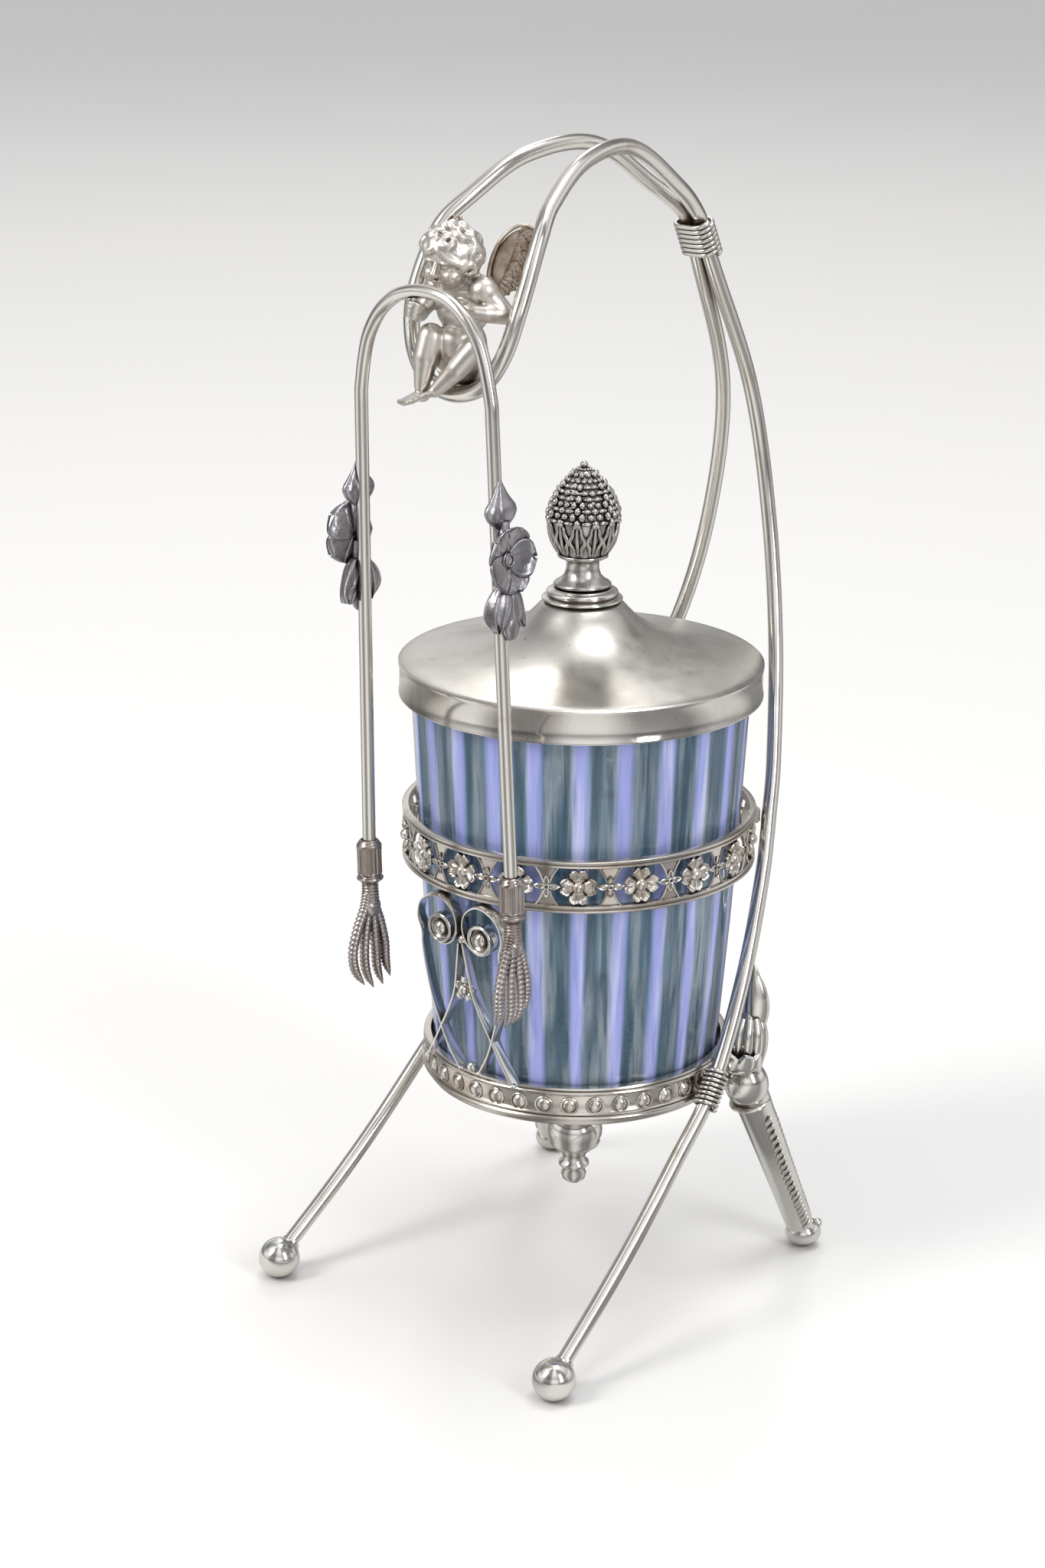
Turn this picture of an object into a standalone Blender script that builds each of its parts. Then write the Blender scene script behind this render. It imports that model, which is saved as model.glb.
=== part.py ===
"""Pickle castor: a silver-plated stand with a seated cherub, a striped jar with a lid, and hanging tongs.

Metres, +Z up, the front of the castor faces -Y and the tray stands on the plane z = 0.
"""

import math

import bmesh
import bpy
from mathutils import Matrix, Vector

# Lid and the clearances that all fits share
lid_radius = 0.0455
fit_gap = 0.0003
rest_gap = 0.0003
overrun = 0.004
weld = 0.00001
flat_angle = math.radians(0.6)

# Jar
jar_seat_height = 0.0570
jar_height = 0.1052
jar_mouth_radius = 0.0428
jar_foot_radius = 0.0366
jar_wall = 0.0030
jar_floor = 0.0045
jar_heel = 0.0030
jar_rib_count = 24
jar_rib_depth = 0.00055

# Lid cap
lid_rim_depth = 0.0085
lid_wall = 0.0011
lid_rise = 0.0148
lid_neck_radius = 0.0100
lid_edge_round = 0.0006

# Collar, finial, stud and nut on the lid
collar_radius = 0.0101
collar_height = 0.0034
finial_stem_radius = 0.0040
finial_stem_height = 0.0068
cone_radius = 0.0092
cone_height = 0.0236
cone_bump = 0.00062
cone_rows = 7
cone_columns = 12
stud_radius = 0.0015
nut_radius = 0.0036
nut_height = 0.0026
bore_gap = 0.0002

# Tray ring and plate
ring_drop = 0.0033
ring_height = 0.0105
ring_radius = 0.0388
ring_wall = 0.0013
ring_flange = 0.0024
ring_bead = 0.0005
boss_count = 38
boss_radius = 0.0022
boss_rise = 0.0006
plate_thickness = 0.0012

# Dome and drop under the tray
dome_radius = 0.0158
dome_height = 0.0130
drop_radius = 0.0074
drop_height = 0.0224

# Pierced band
band_rise = 0.0552
band_width = 0.0136
band_radius = 0.0440
band_wall = 0.0009
band_rim = 0.0008
band_repeats = 18

# Frame rods, balls, bindings and lugs
rod_radius = 0.00195
ball_radius = 0.00534
ball_flat = 0.00015
foot_half_spread = 0.0470
foot_reach = 0.0626
leg_sag = 0.0026
lug_length = 0.0030
lug_width = 0.0026
lug_height = 0.0044
rear_reach = 0.0643
coil_height = 0.2632
coil_reach = 0.0427
coil_lean = math.radians(26.3)
coil_turns = 6
coil_wire = 0.00060
coil_wire_gap = 0.00046
ring_binding_turns = 6
ring_binding_wire = 0.00042
twin_gap = 0.0003
ring_rod_angle = math.radians(1.7)
band_rod_angle = math.radians(53.8)
back_angle = math.radians(90.0)

# Handle hoop
hoop_half_width = 0.0162
hoop_reach = 0.0475
hoop_top = 0.2885
hoop_bottom = 0.2366

# Rear legs
rear_leg_radius = 0.0041
rear_leg_ridge = 0.00028
rear_leg_ridges = 13
rear_foot_x = 0.0440
rear_foot_y = 0.0432
rear_foot_radius = 0.0046
rear_head_radius = 0.0056
rear_head_angle = math.radians(25.0)
leaf_length = 0.0330
leaf_width = 0.0072
leaf_thickness = 0.0052
leaf_angle = math.radians(31.0)

# Front scroll work
strap_thickness = 0.0008
strap_width = 0.0030
scroll_half_width = 0.0150
scroll_boss_radius = 0.0020
knob_radius = 0.0015
rosette_radius = 0.0032

# Cherub
cherub_height = 0.0410
wing_thickness = 0.0011

# Tongs
tong_wire = 0.00160
tong_drop = 0.0578
tong_half_width = 0.0202
tong_spread = 0.0028
tong_shoulder = 0.0241
tong_lean = math.radians(2.1)
sleeve_radius = 0.0031
sleeve_length = 0.0107
claw_length = 0.0262
claw_spread = 0.0058
finger_radius = 0.00125
flower_radius = 0.0080
ornament_thickness = 0.0016
arm_length = 0.1160

# Places that follow from the sizes above
ring_bottom = jar_seat_height - ring_drop
band_bottom = jar_seat_height + band_rise
plate_top = jar_seat_height - rest_gap
plate_bottom = plate_top - plate_thickness
ring_top = ring_bottom + ring_height
ring_middle = ring_bottom + ring_height / 2
jar_top = jar_seat_height + jar_height
lid_edge = jar_top + rest_gap + lid_wall
lid_rim_bottom = lid_edge - lid_rim_depth
lid_top = lid_edge + lid_rise
collar_top = lid_top + collar_height
finial_bottom = collar_top + rest_gap
cone_bottom = finial_bottom + finial_stem_height
band_middle = band_bottom + band_width / 2
binding_radius = rod_radius + fit_gap + bore_gap + ring_binding_wire
ring_rod_reach = ring_radius + ring_bead + boss_rise + fit_gap + binding_radius + ring_binding_wire
band_rod_reach = band_radius + band_rim + fit_gap + lug_length + fit_gap + rod_radius
coil_axis = Vector((0, -math.sin(coil_lean), math.cos(coil_lean)))
coil_centre = Vector((0, coil_reach, coil_height))
coil_pitch = 2 * coil_wire + coil_wire_gap
coil_length = coil_turns * coil_pitch
twin_offset = rod_radius + twin_gap / 2
bow_plane = -tong_drop

# Rod key places: share of the way out, round and up, from ring to band and then from band to binding
ring_to_band_shares = ((0.0, 0.0, 0.0), (0.11, 0.386, 0.416), (0.516, 0.79, 0.765), (1.0, 1.0, 1.0))
band_to_coil_shares = ((0.25, 0.215, 0.078), (0.796, 0.577, 0.275), (1.0, 0.768, 0.496), (0.74, 0.884, 0.729))
# Hoop key places: shares of its half width, reach and height, from the binding down to the seat
hoop_shares = (
    (0.27, 0.61, 0.78), (0.36, 0.181, 0.996), (0.56, -0.265, 0.971), (0.77, -0.592, 0.809),
    (0.944, -0.743, 0.684), (1.0, -0.905, 0.399), (0.86, -0.966, 0.193), (0.52, -0.992, 0.05),
)

# Corners of one opening in the band: shares of half a repeat and of half the open height
window_shares = ((0.24, 0.96), (0.64, 0.96), (0.84, 0.30), (0.60, 0.14), (0.34, 0.46))

scene_parts = bpy.data.collections.new("pickle_castor")
cutters = bpy.data.collections.new("cutters")


def clear_scene():
    for old in list(bpy.data.objects):
        bpy.data.objects.remove(old, do_unlink=True)
    bpy.context.scene.collection.children.link(scene_parts)
    bpy.context.scene.collection.children.link(cutters)
    cutters.hide_render = True


def make_material(name, colour, roughness, metallic, transmission=0.0):
    material = bpy.data.materials.new(name)
    material.use_nodes = True
    shader = material.node_tree.nodes["Principled BSDF"]
    shader.inputs["Base Color"].default_value = (*colour, 1.0)
    shader.inputs["Roughness"].default_value = roughness
    shader.inputs["Metallic"].default_value = metallic
    shader.inputs["Transmission Weight"].default_value = transmission
    material.diffuse_color = (*colour, 1.0)
    return material


def add_object(name, mesh, material, parent=None):
    made = bpy.data.objects.new(name, mesh)
    mesh.materials.clear()
    mesh.materials.append(material)
    scene_parts.objects.link(made)
    if parent is not None:
        made.parent = parent
        made.matrix_parent_inverse = parent.matrix_world.inverted()
    return made


def add_joint(name, place):
    """An empty on a joint's axis, which carries the pieces that move there."""
    joint = bpy.data.objects.new(name, None)
    joint.empty_display_size = ball_radius
    joint.location = place
    scene_parts.objects.link(joint)
    bpy.context.view_layer.update()
    return joint


def mesh_from(bm, name):
    bmesh.ops.remove_doubles(bm, verts=bm.verts, dist=weld)
    bmesh.ops.recalc_face_normals(bm, faces=bm.faces)
    mesh = bpy.data.meshes.new(name)
    bm.to_mesh(mesh)
    bm.free()
    return mesh


def evaluated_mesh(made, name):
    """The mesh of an object with its modifiers or bevel applied; the object goes."""
    bpy.context.view_layer.update()
    graph = bpy.context.evaluated_depsgraph_get()
    mesh = bpy.data.meshes.new_from_object(made.evaluated_get(graph))
    bpy.data.objects.remove(made, do_unlink=True)
    bm = bmesh.new()
    bm.from_mesh(mesh)
    bpy.data.meshes.remove(mesh)
    return mesh_from(bm, name)


def add_cutter(name, data):
    """A helper object, drawn as wire and never rendered."""
    made = bpy.data.objects.new(name, data)
    made.display_type = "WIRE"
    made.hide_render = True
    cutters.objects.link(made)
    return made


def turned(name, profile, steps):
    """A turned mesh: the profile's (radius, height) points run down the outside and back up inside."""
    closed = min(radius for radius, height in profile) > 0
    points = [(radius, 0, height) for radius, height in profile]
    edges = [(i, i + 1) for i in range(len(points) - 1)]
    if closed:
        edges.append((len(points) - 1, 0))
    mesh = bpy.data.meshes.new(name)
    mesh.from_pydata(points, edges, [])
    made = add_cutter(name, mesh)
    screw = made.modifiers.new("turn", "SCREW")
    screw.steps = steps
    screw.render_steps = steps
    screw.use_merge_vertices = True
    screw.merge_threshold = weld
    return evaluated_mesh(made, name)


def tube(name, points, radius, resolution=2, radii=None, cyclic=False):
    """A tube along the points; radii are shares of the radius."""
    curve = bpy.data.curves.new(name, "CURVE")
    curve.dimensions = "3D"
    curve.bevel_depth = radius
    curve.bevel_resolution = resolution
    curve.use_fill_caps = True
    spline = curve.splines.new("POLY")
    spline.points.add(len(points) - 1)
    spline.use_cyclic_u = cyclic
    for i, place in enumerate(points):
        spline.points[i].co = (*place, 1.0)
        spline.points[i].radius = radii[i] if radii else 1.0
    made = add_cutter(name, curve)
    return evaluated_mesh(made, name)


def ball(name, centre, radii, segments=12, rings=8, turn=None):
    bm = bmesh.new()
    bmesh.ops.create_uvsphere(bm, u_segments=segments, v_segments=rings, radius=1)
    shape = Matrix.Diagonal((*radii, 1.0))
    if turn is not None:
        shape = turn.to_4x4() @ shape
    bmesh.ops.transform(bm, matrix=Matrix.Translation(centre) @ shape, verts=bm.verts)
    return mesh_from(bm, name)


def block(name, centre, sides, turn=None):
    bm = bmesh.new()
    bmesh.ops.create_cube(bm, size=1)
    shape = Matrix.Diagonal((*sides, 1.0))
    if turn is not None:
        shape = turn.to_4x4() @ shape
    bmesh.ops.transform(bm, matrix=Matrix.Translation(centre) @ shape, verts=bm.verts)
    return mesh_from(bm, name)


def rod_between(name, start, end, radius_start, radius_end, segments=10):
    """A cone or cylinder from one point to another."""
    way = end - start
    bm = bmesh.new()
    bmesh.ops.create_cone(
        bm, cap_ends=True, segments=segments,
        radius1=radius_start, radius2=radius_end, depth=way.length,
    )
    turn = way.to_track_quat("Z", "Y").to_matrix().to_4x4()
    bmesh.ops.transform(bm, matrix=Matrix.Translation((start + end) / 2) @ turn, verts=bm.verts)
    return mesh_from(bm, name)


def combine(first, others, operation, itself=False):
    """First mesh joined with, or cut by, the other meshes."""
    base = add_cutter("base", first)
    bm = bmesh.new()
    for other in others:
        bm.from_mesh(other)
    tools = bpy.data.meshes.new("tools")
    bm.to_mesh(tools)
    bm.free()
    tool = add_cutter("tool", tools)
    boolean = base.modifiers.new("combine", "BOOLEAN")
    boolean.operation = operation
    boolean.solver = "EXACT"
    boolean.use_self = itself
    boolean.object = tool
    mesh = evaluated_mesh(base, first.name)
    bpy.data.objects.remove(tool, do_unlink=True)
    bm = bmesh.new()
    bm.from_mesh(mesh)
    bmesh.ops.dissolve_limit(bm, angle_limit=flat_angle, verts=bm.verts, edges=bm.edges)
    bmesh.ops.triangulate(bm, faces=bm.faces)
    return mesh_from(bm, first.name)


def fuse(meshes):
    """One mesh from several that overlap each other."""
    return combine(meshes[0], meshes[1:], "UNION", itself=len(meshes) > 2)


def mirrored(mesh, name):
    bm = bmesh.new()
    bm.from_mesh(mesh)
    bmesh.ops.transform(bm, matrix=Matrix.Diagonal((-1, 1, 1, 1)), verts=bm.verts)
    bmesh.ops.reverse_faces(bm, faces=bm.faces)
    return mesh_from(bm, name)


def moved(mesh, matrix):
    mesh.transform(matrix)
    return mesh


def smooth_path(keys, per_span):
    """Points on a smooth curve through the keys."""
    count = len(keys)
    slopes = []
    for i in range(count):
        before = keys[max(i - 1, 0)]
        after = keys[min(i + 1, count - 1)]
        slopes.append((after - before) / max((after - keys[i]).length + (keys[i] - before).length, weld))
    path = []
    for i in range(count - 1):
        span = (keys[i + 1] - keys[i]).length
        for j in range(per_span):
            t = j / per_span
            path.append(
                keys[i] * (2 * t**3 - 3 * t**2 + 1)
                + slopes[i] * (t**3 - 2 * t**2 + t) * span
                + keys[i + 1] * (3 * t**2 - 2 * t**3)
                + slopes[i + 1] * (t**3 - t**2) * span
            )
    path.append(keys[-1])
    return path


def between(low, high, share):
    return low + (high - low) * share


def polar(radius, angle, height):
    return Vector((radius * math.cos(angle), radius * math.sin(angle), height))


def least_self_gap(points, radius, turn_points):
    """The narrowest gap between a winding's own turns."""
    least = math.inf
    for i, place in enumerate(points):
        for other in points[i + turn_points // 2 :]:
            least = min(least, (place - other).length - 2 * radius)
    return least


def winding(name, centre, axis, side, twin, radius, turns, pitch, wire, turn_points):
    """One unbroken wire wound round one rod, or round two that lie twin on each side of the centre."""
    across = axis.cross(side)
    points = []
    for i in range(turns * turn_points + 1):
        angle = 2 * math.pi * i / turn_points
        along = (i / turn_points - turns / 2) * pitch
        out = radius * math.cos(angle)
        out += math.copysign(twin, math.cos(angle)) * min(1, abs(math.cos(angle)) * 4)
        points.append(centre + axis * along + side * out + across * (radius * math.sin(angle)))
    print(f"{name}: least gap between turns {least_self_gap(points, wire, turn_points) * 1000:.2f} mm")
    return tube(name, points, wire, resolution=1)


clear_scene()
silver = make_material("aged_silver_plate", (0.62, 0.59, 0.55), 0.28, 1.0)
dull_silver = make_material("dull_cast_metal", (0.42, 0.41, 0.40), 0.45, 1.0)
dark_silver = make_material("tarnished_plate", (0.38, 0.31, 0.25), 0.42, 1.0)
satin_silver = make_material("satin_plate", (0.55, 0.53, 0.50), 0.38, 1.0)
steel = make_material("plain_steel", (0.35, 0.35, 0.36), 0.4, 1.0)
striped_glass = make_material("striped_glass", (0.48, 0.55, 0.80), 0.08, 0.0, transmission=0.6)


# Joints
jar_joint = add_joint("jar_lift_axis", (0, 0, jar_seat_height))
lid_joint = add_joint("lid_lift_axis", (0, 0, jar_top))
lid_joint.parent = jar_joint
lid_joint.matrix_parent_inverse = jar_joint.matrix_world.inverted()


def make_jar():
    """A tapered jar whose outside swells into upright ribs."""
    foot = jar_foot_radius
    mouth = jar_mouth_radius
    outside = [
        (mouth - jar_wall / 3, jar_top),
        (mouth, jar_top - jar_wall / 3),
        (between(foot, mouth, 0.42), jar_seat_height + jar_height * 0.36),
        (foot, jar_seat_height + jar_heel),
        (foot - jar_heel, jar_seat_height),
    ]
    inside = [
        (0, jar_seat_height),
        (0, jar_seat_height + jar_floor),
        (foot - jar_wall - jar_heel, jar_seat_height + jar_floor),
        (foot - jar_wall, jar_seat_height + jar_floor + jar_heel),
        (between(foot, mouth, 0.42) - jar_wall, jar_seat_height + jar_height * 0.36),
        (mouth - jar_wall, jar_top - jar_wall / 3),
        (mouth - jar_wall * 2 / 3, jar_top),
    ]
    profile = outside + inside
    points = [(radius, 0, height) for radius, height in profile]
    rows = len(points)
    mesh = bpy.data.meshes.new("glass_jar")
    ring = [(i, (i + 1) % rows) for i in range(rows) if profile[i][0] > 0 or profile[(i + 1) % rows][0] > 0]
    mesh.from_pydata(points, ring, [])
    made = add_cutter("glass_jar", mesh)
    screw = made.modifiers.new("turn", "SCREW")
    screw.steps = jar_rib_count * 2
    screw.render_steps = screw.steps
    screw.use_merge_vertices = True
    screw.merge_threshold = weld
    mesh = evaluated_mesh(made, "glass_jar")
    for vertex in mesh.vertices:
        radius = math.hypot(vertex.co.x, vertex.co.y)
        share = (vertex.co.z - jar_seat_height) / jar_height
        outer = between(foot, mouth, share) - jar_wall / 2
        if radius > outer and vertex.co.z < jar_top - weld:
            angle = math.atan2(vertex.co.y, vertex.co.x)
            swell = jar_rib_depth * (math.cos(angle * jar_rib_count) - 1) / 2
            vertex.co.x += math.cos(angle) * swell
            vertex.co.y += math.sin(angle) * swell
    add_object("glass_jar", mesh, striped_glass, jar_joint)


def make_lid():
    """Rim, flat disc and trumpet dome as one spun shell, with its collar, finial, stud and nut."""
    flare_shares = ((0.0, 1.0), (0.06, 0.86), (0.14, 0.69), (0.27, 0.46), (0.50, 0.25), (0.78, 0.09))
    disc_edge = lid_radius - lid_edge_round
    outside = [(stud_radius + bore_gap, lid_top), (lid_neck_radius - lid_wall, lid_top)]
    inside = []
    for i, (out, up) in enumerate(flare_shares):
        radius = between(lid_neck_radius, disc_edge, out)
        outside.append((radius, lid_edge + lid_rise * up))
        if i % 2 == 0:
            inside.append((radius - lid_wall, lid_edge - lid_wall + lid_rise * up))
    outside[2] = (lid_neck_radius, lid_top - lid_wall / 3)
    inside[0] = (lid_neck_radius - lid_wall, lid_top - lid_wall)
    outside += [(disc_edge, lid_edge), (lid_radius, lid_edge - lid_edge_round), (lid_radius, lid_rim_bottom)]
    inside += [
        (lid_radius - 2 * lid_wall, lid_edge - lid_wall),
        (lid_radius - lid_wall, lid_edge - 2 * lid_wall),
        (lid_radius - lid_wall, lid_rim_bottom),
    ]
    profile = outside + inside[::-1] + [(stud_radius + bore_gap, lid_top - lid_wall)]
    add_object("lid_cap", turned("lid_cap", profile, 36), satin_silver, lid_joint)
    bore = stud_radius + bore_gap
    collar_profile = [
        (bore, collar_top),
        (finial_stem_radius, collar_top),
        (collar_radius * 0.72, collar_top - collar_height * 0.18),
        (collar_radius * 0.74, collar_top - collar_height * 0.38),
        (collar_radius * 0.95, collar_top - collar_height * 0.55),
        (collar_radius, collar_top - collar_height * 0.78),
        (collar_radius * 0.97, lid_top + rest_gap),
        (bore, lid_top + rest_gap),
    ]
    add_object("lid_collar", turned("lid_collar", collar_profile, 24), silver, lid_joint)
    make_finial(bore)
    stud_top = cone_bottom + cone_height * 0.3
    nut_top = lid_top - lid_wall - rest_gap
    stud_bottom = nut_top - nut_height * 1.5
    low_end = Vector((0, 0, stud_bottom))
    high_end = Vector((0, 0, stud_top - rest_gap))
    stud = rod_between("finial_stud", low_end, high_end, stud_radius, stud_radius, 16)
    add_object("finial_stud", stud, steel, lid_joint)
    bm = bmesh.new()
    bmesh.ops.create_cone(
        bm, cap_ends=True, segments=6, radius1=nut_radius, radius2=nut_radius, depth=nut_height
    )
    bmesh.ops.transform(bm, matrix=Matrix.Translation((0, 0, nut_top - nut_height / 2)), verts=bm.verts)
    above = Vector((0, 0, nut_top + overrun))
    below = Vector((0, 0, nut_top - nut_height - overrun))
    hole = rod_between("hole", above, below, bore, bore, 16)
    add_object("finial_nut", combine(mesh_from(bm, "finial_nut"), [hole], "DIFFERENCE"), steel, lid_joint)


def make_finial(bore):
    """A pine cone: rows of rounded scales over a ring of upright leaves, turned onto a stem."""
    rows = cone_rows * 2
    columns = cone_columns * 2
    outline_shares = (
        (0.0, 0.52), (0.12, 0.78), (0.3, 0.96), (0.48, 1.0), (0.66, 0.84), (0.84, 0.5), (0.95, 0.22)
    )
    profile = [(0, cone_bottom + cone_height)]
    for i in range(rows + 1):
        up = 0.97 * (1 - i / rows)
        for j in range(len(outline_shares) - 1):
            low, high = outline_shares[j], outline_shares[j + 1]
            if low[0] <= up <= high[0] or (j == len(outline_shares) - 2 and up > high[0]):
                share = (up - low[0]) / (high[0] - low[0])
                radius = cone_radius * between(low[1], high[1], share)
                profile.append((radius, cone_bottom + cone_height * up))
                break
    profile += [
        (finial_stem_radius * 0.75, cone_bottom - finial_stem_height * 0.18),
        (finial_stem_radius * 0.62, cone_bottom - finial_stem_height * 0.5),
        (finial_stem_radius, cone_bottom - finial_stem_height * 0.86),
        (finial_stem_radius, finial_bottom),
        (bore, finial_bottom),
        (bore, cone_bottom + cone_height * 0.3),
        (0, cone_bottom + cone_height * 0.3),
    ]
    mesh = turned("finial_pinecone", profile, columns)
    for vertex in mesh.vertices:
        radius = math.hypot(vertex.co.x, vertex.co.y)
        share = (vertex.co.z - cone_bottom) / cone_height
        if radius <= bore + weld or not 0 <= share < 0.96:
            continue
        angle = math.atan2(vertex.co.y, vertex.co.x)
        if share < 0.3:
            bump = math.cos(angle * cone_columns) * 0.6
        else:
            row = share * cone_rows
            stagger = math.pi * (int(row) % 2) / cone_columns
            round_bump = 0.5 + 0.5 * math.cos((angle + stagger) * cone_columns)
            bump = abs(math.sin(math.pi * row)) * round_bump - 0.3
        vertex.co.x += math.cos(angle) * cone_bump * bump
        vertex.co.y += math.sin(angle) * cone_bump * bump
    add_object("finial_pinecone", mesh, dull_silver, lid_joint)


def make_tray():
    """Moulded ring with round bosses, the plate that it carries, and the dome and drop below."""
    outer = ring_radius
    inner = ring_radius - ring_wall
    side_shares = (
        (0.2, 1.0), (0.2, 0.90), (1.0, 0.80), (1.3, 0.54), (1.1, 0.34), (1.6, 0.27), (0.7, 0.18), (-0.6, 0.0),
    )
    profile = [(outer + ring_bead * out, ring_bottom + ring_height * up) for out, up in side_shares]
    shelf = plate_bottom - rest_gap
    flange_edge = inner - ring_flange
    profile += [(flange_edge, ring_bottom), (flange_edge, shelf), (inner, shelf), (inner, ring_top)]
    ring = turned("tray_ring", profile, boss_count)
    bosses = []
    boss_height = ring_bottom + ring_height * 0.54
    for i in range(boss_count):
        angle = 2 * math.pi * (i + 0.5) / boss_count
        place = polar(outer + ring_bead, angle, boss_height)
        root = place - polar(boss_rise, angle, 0)
        tip = place + polar(boss_rise, angle, 0)
        bosses.append(rod_between("boss", root, tip, boss_radius * 1.25, boss_radius * 0.55, 6))
    add_object("tray_ring", combine(ring, bosses, "UNION"), dark_silver)
    bore = stud_radius + bore_gap
    plate_edge = inner - fit_gap
    lip = plate_thickness / 4
    plate_profile = [
        (bore, plate_top), (plate_edge - lip, plate_top), (plate_edge, plate_top - lip),
        (plate_edge, plate_bottom), (bore, plate_bottom),
    ]
    add_object("tray_plate", turned("tray_plate", plate_profile, 30), silver)
    dome_top = plate_bottom - rest_gap
    dome_shares = (
        (1.0, 0.0), (0.96, 0.12), (0.84, 0.3), (0.64, 0.46), (0.42, 0.6), (0.3, 0.76), (0.34, 0.9),
        (0.3, 1.0),
    )
    dome_profile = [(bore, dome_top)]
    dome_profile += [(dome_radius * out, dome_top - dome_height * down) for out, down in dome_shares]
    dome_profile.append((bore, dome_top - dome_height))
    add_object("under_dome", turned("under_dome", dome_profile, 22), silver)
    drop_top = dome_top - dome_height - rest_gap
    drop_shares = (
        (0.42, 0.0), (0.40, 0.06), (0.75, 0.13), (1.0, 0.32), (0.93, 0.48), (0.70, 0.58), (0.44, 0.63),
        (0.56, 0.72), (0.42, 0.80), (0.46, 0.88), (0.12, 1.0),
    )
    stud_bottom = drop_top - drop_height * 0.4
    drop_profile = [(0, stud_bottom), (bore, stud_bottom), (bore, drop_top)]
    drop_profile += [(drop_radius * out, drop_top - drop_height * down) for out, down in drop_shares]
    drop_profile.append((0, drop_top - drop_height))
    add_object("pendant_drop", turned("pendant_drop", drop_profile, 18), silver)
    screw_head = rod_between(
        "tray_screw", Vector((0, 0, plate_top - fit_gap)), Vector((0, 0, stud_bottom + rest_gap)),
        stud_radius, stud_radius, 16,
    )
    add_object("tray_screw", screw_head, steel)


def make_band():
    """The pierced band: one moulded strip, cut so that daisies and waisted ties stand between its rims."""
    inner = band_radius - band_wall
    top = band_bottom + band_width
    profile = [
        (inner, top),
        (band_radius, top),
        (band_radius + band_rim, top - 0.6 * band_rim),
        (band_radius + band_rim, top - 1.4 * band_rim),
        (band_radius, top - 2 * band_rim),
        (band_radius, band_bottom + 2 * band_rim),
        (band_radius + band_rim, band_bottom + 1.4 * band_rim),
        (band_radius + band_rim, band_bottom + 0.6 * band_rim),
        (band_radius, band_bottom),
        (inner, band_bottom),
    ]
    band = turned("gallery_band", profile, band_repeats * 2)
    half_step = math.pi * band_radius / band_repeats
    half_height = band_width / 2 - 2 * band_rim
    windows = []
    for i in range(band_repeats):
        angle = 2 * math.pi * i / band_repeats - math.pi / 2
        for side in (-1, 1):
            for way in (-1, 1):
                windows.append(window(angle, side * half_step, way * half_height))
    add_object("gallery_band", combine(band, windows, "DIFFERENCE"), dark_silver)


def window(angle, half_step, half_height):
    """A cutter for one opening beside a daisy; the signs of its sizes say which of the four it is."""
    bm = bmesh.new()
    corners = []
    for along, up in window_shares:
        near = band_radius - band_wall - overrun
        place = turn_about(angle, near, along * half_step, band_middle + up * half_height)
        corners.append(bm.verts.new(place))
    face = bm.faces.new(corners)
    made = bmesh.ops.extrude_face_region(bm, geom=[face])
    grown = [item for item in made["geom"] if isinstance(item, bmesh.types.BMVert)]
    bmesh.ops.translate(bm, verts=grown, vec=polar(band_wall + 2 * overrun, angle, 0))
    return mesh_from(bm, "window")


def turn_about(angle, radius, along, height):
    """A place on a ring, a little way along its tangent."""
    return polar(radius, angle, height) + Vector((-math.sin(angle), math.cos(angle), 0)) * along


def rod_keys():
    """The right rod from its ball, past ring and band, to the top binding."""
    ball_centre = Vector((foot_half_spread, -foot_reach, ball_radius - ball_flat))
    ring_place = polar(ring_rod_reach, ring_rod_angle, ring_middle)
    out = (ring_place - ball_centre).normalized()
    start = ball_centre + out * (ball_radius + rest_gap)
    keys = [start]
    for share in (0.25, 0.5, 0.75):
        sag = Vector((0, 0, -leg_sag * math.sin(math.pi * share)))
        keys.append(start.lerp(ring_place, share) + sag)
    for out_share, round_share, up_share in ring_to_band_shares:
        keys.append(
            polar(
                between(ring_rod_reach, band_rod_reach, out_share),
                between(ring_rod_angle, band_rod_angle, round_share),
                between(ring_middle, band_middle, up_share),
            )
        )
    for out_share, round_share, up_share in band_to_coil_shares:
        keys.append(
            polar(
                between(band_rod_reach, rear_reach, out_share),
                between(band_rod_angle, back_angle, round_share),
                between(band_middle, coil_height, up_share),
            )
        )
    side = Vector((twin_offset, 0, 0))
    keys.append(coil_centre + side - coil_axis * (coil_length / 2 + coil_pitch))
    keys.append(coil_centre + side - coil_axis * (rest_gap / 2))
    return keys


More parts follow.
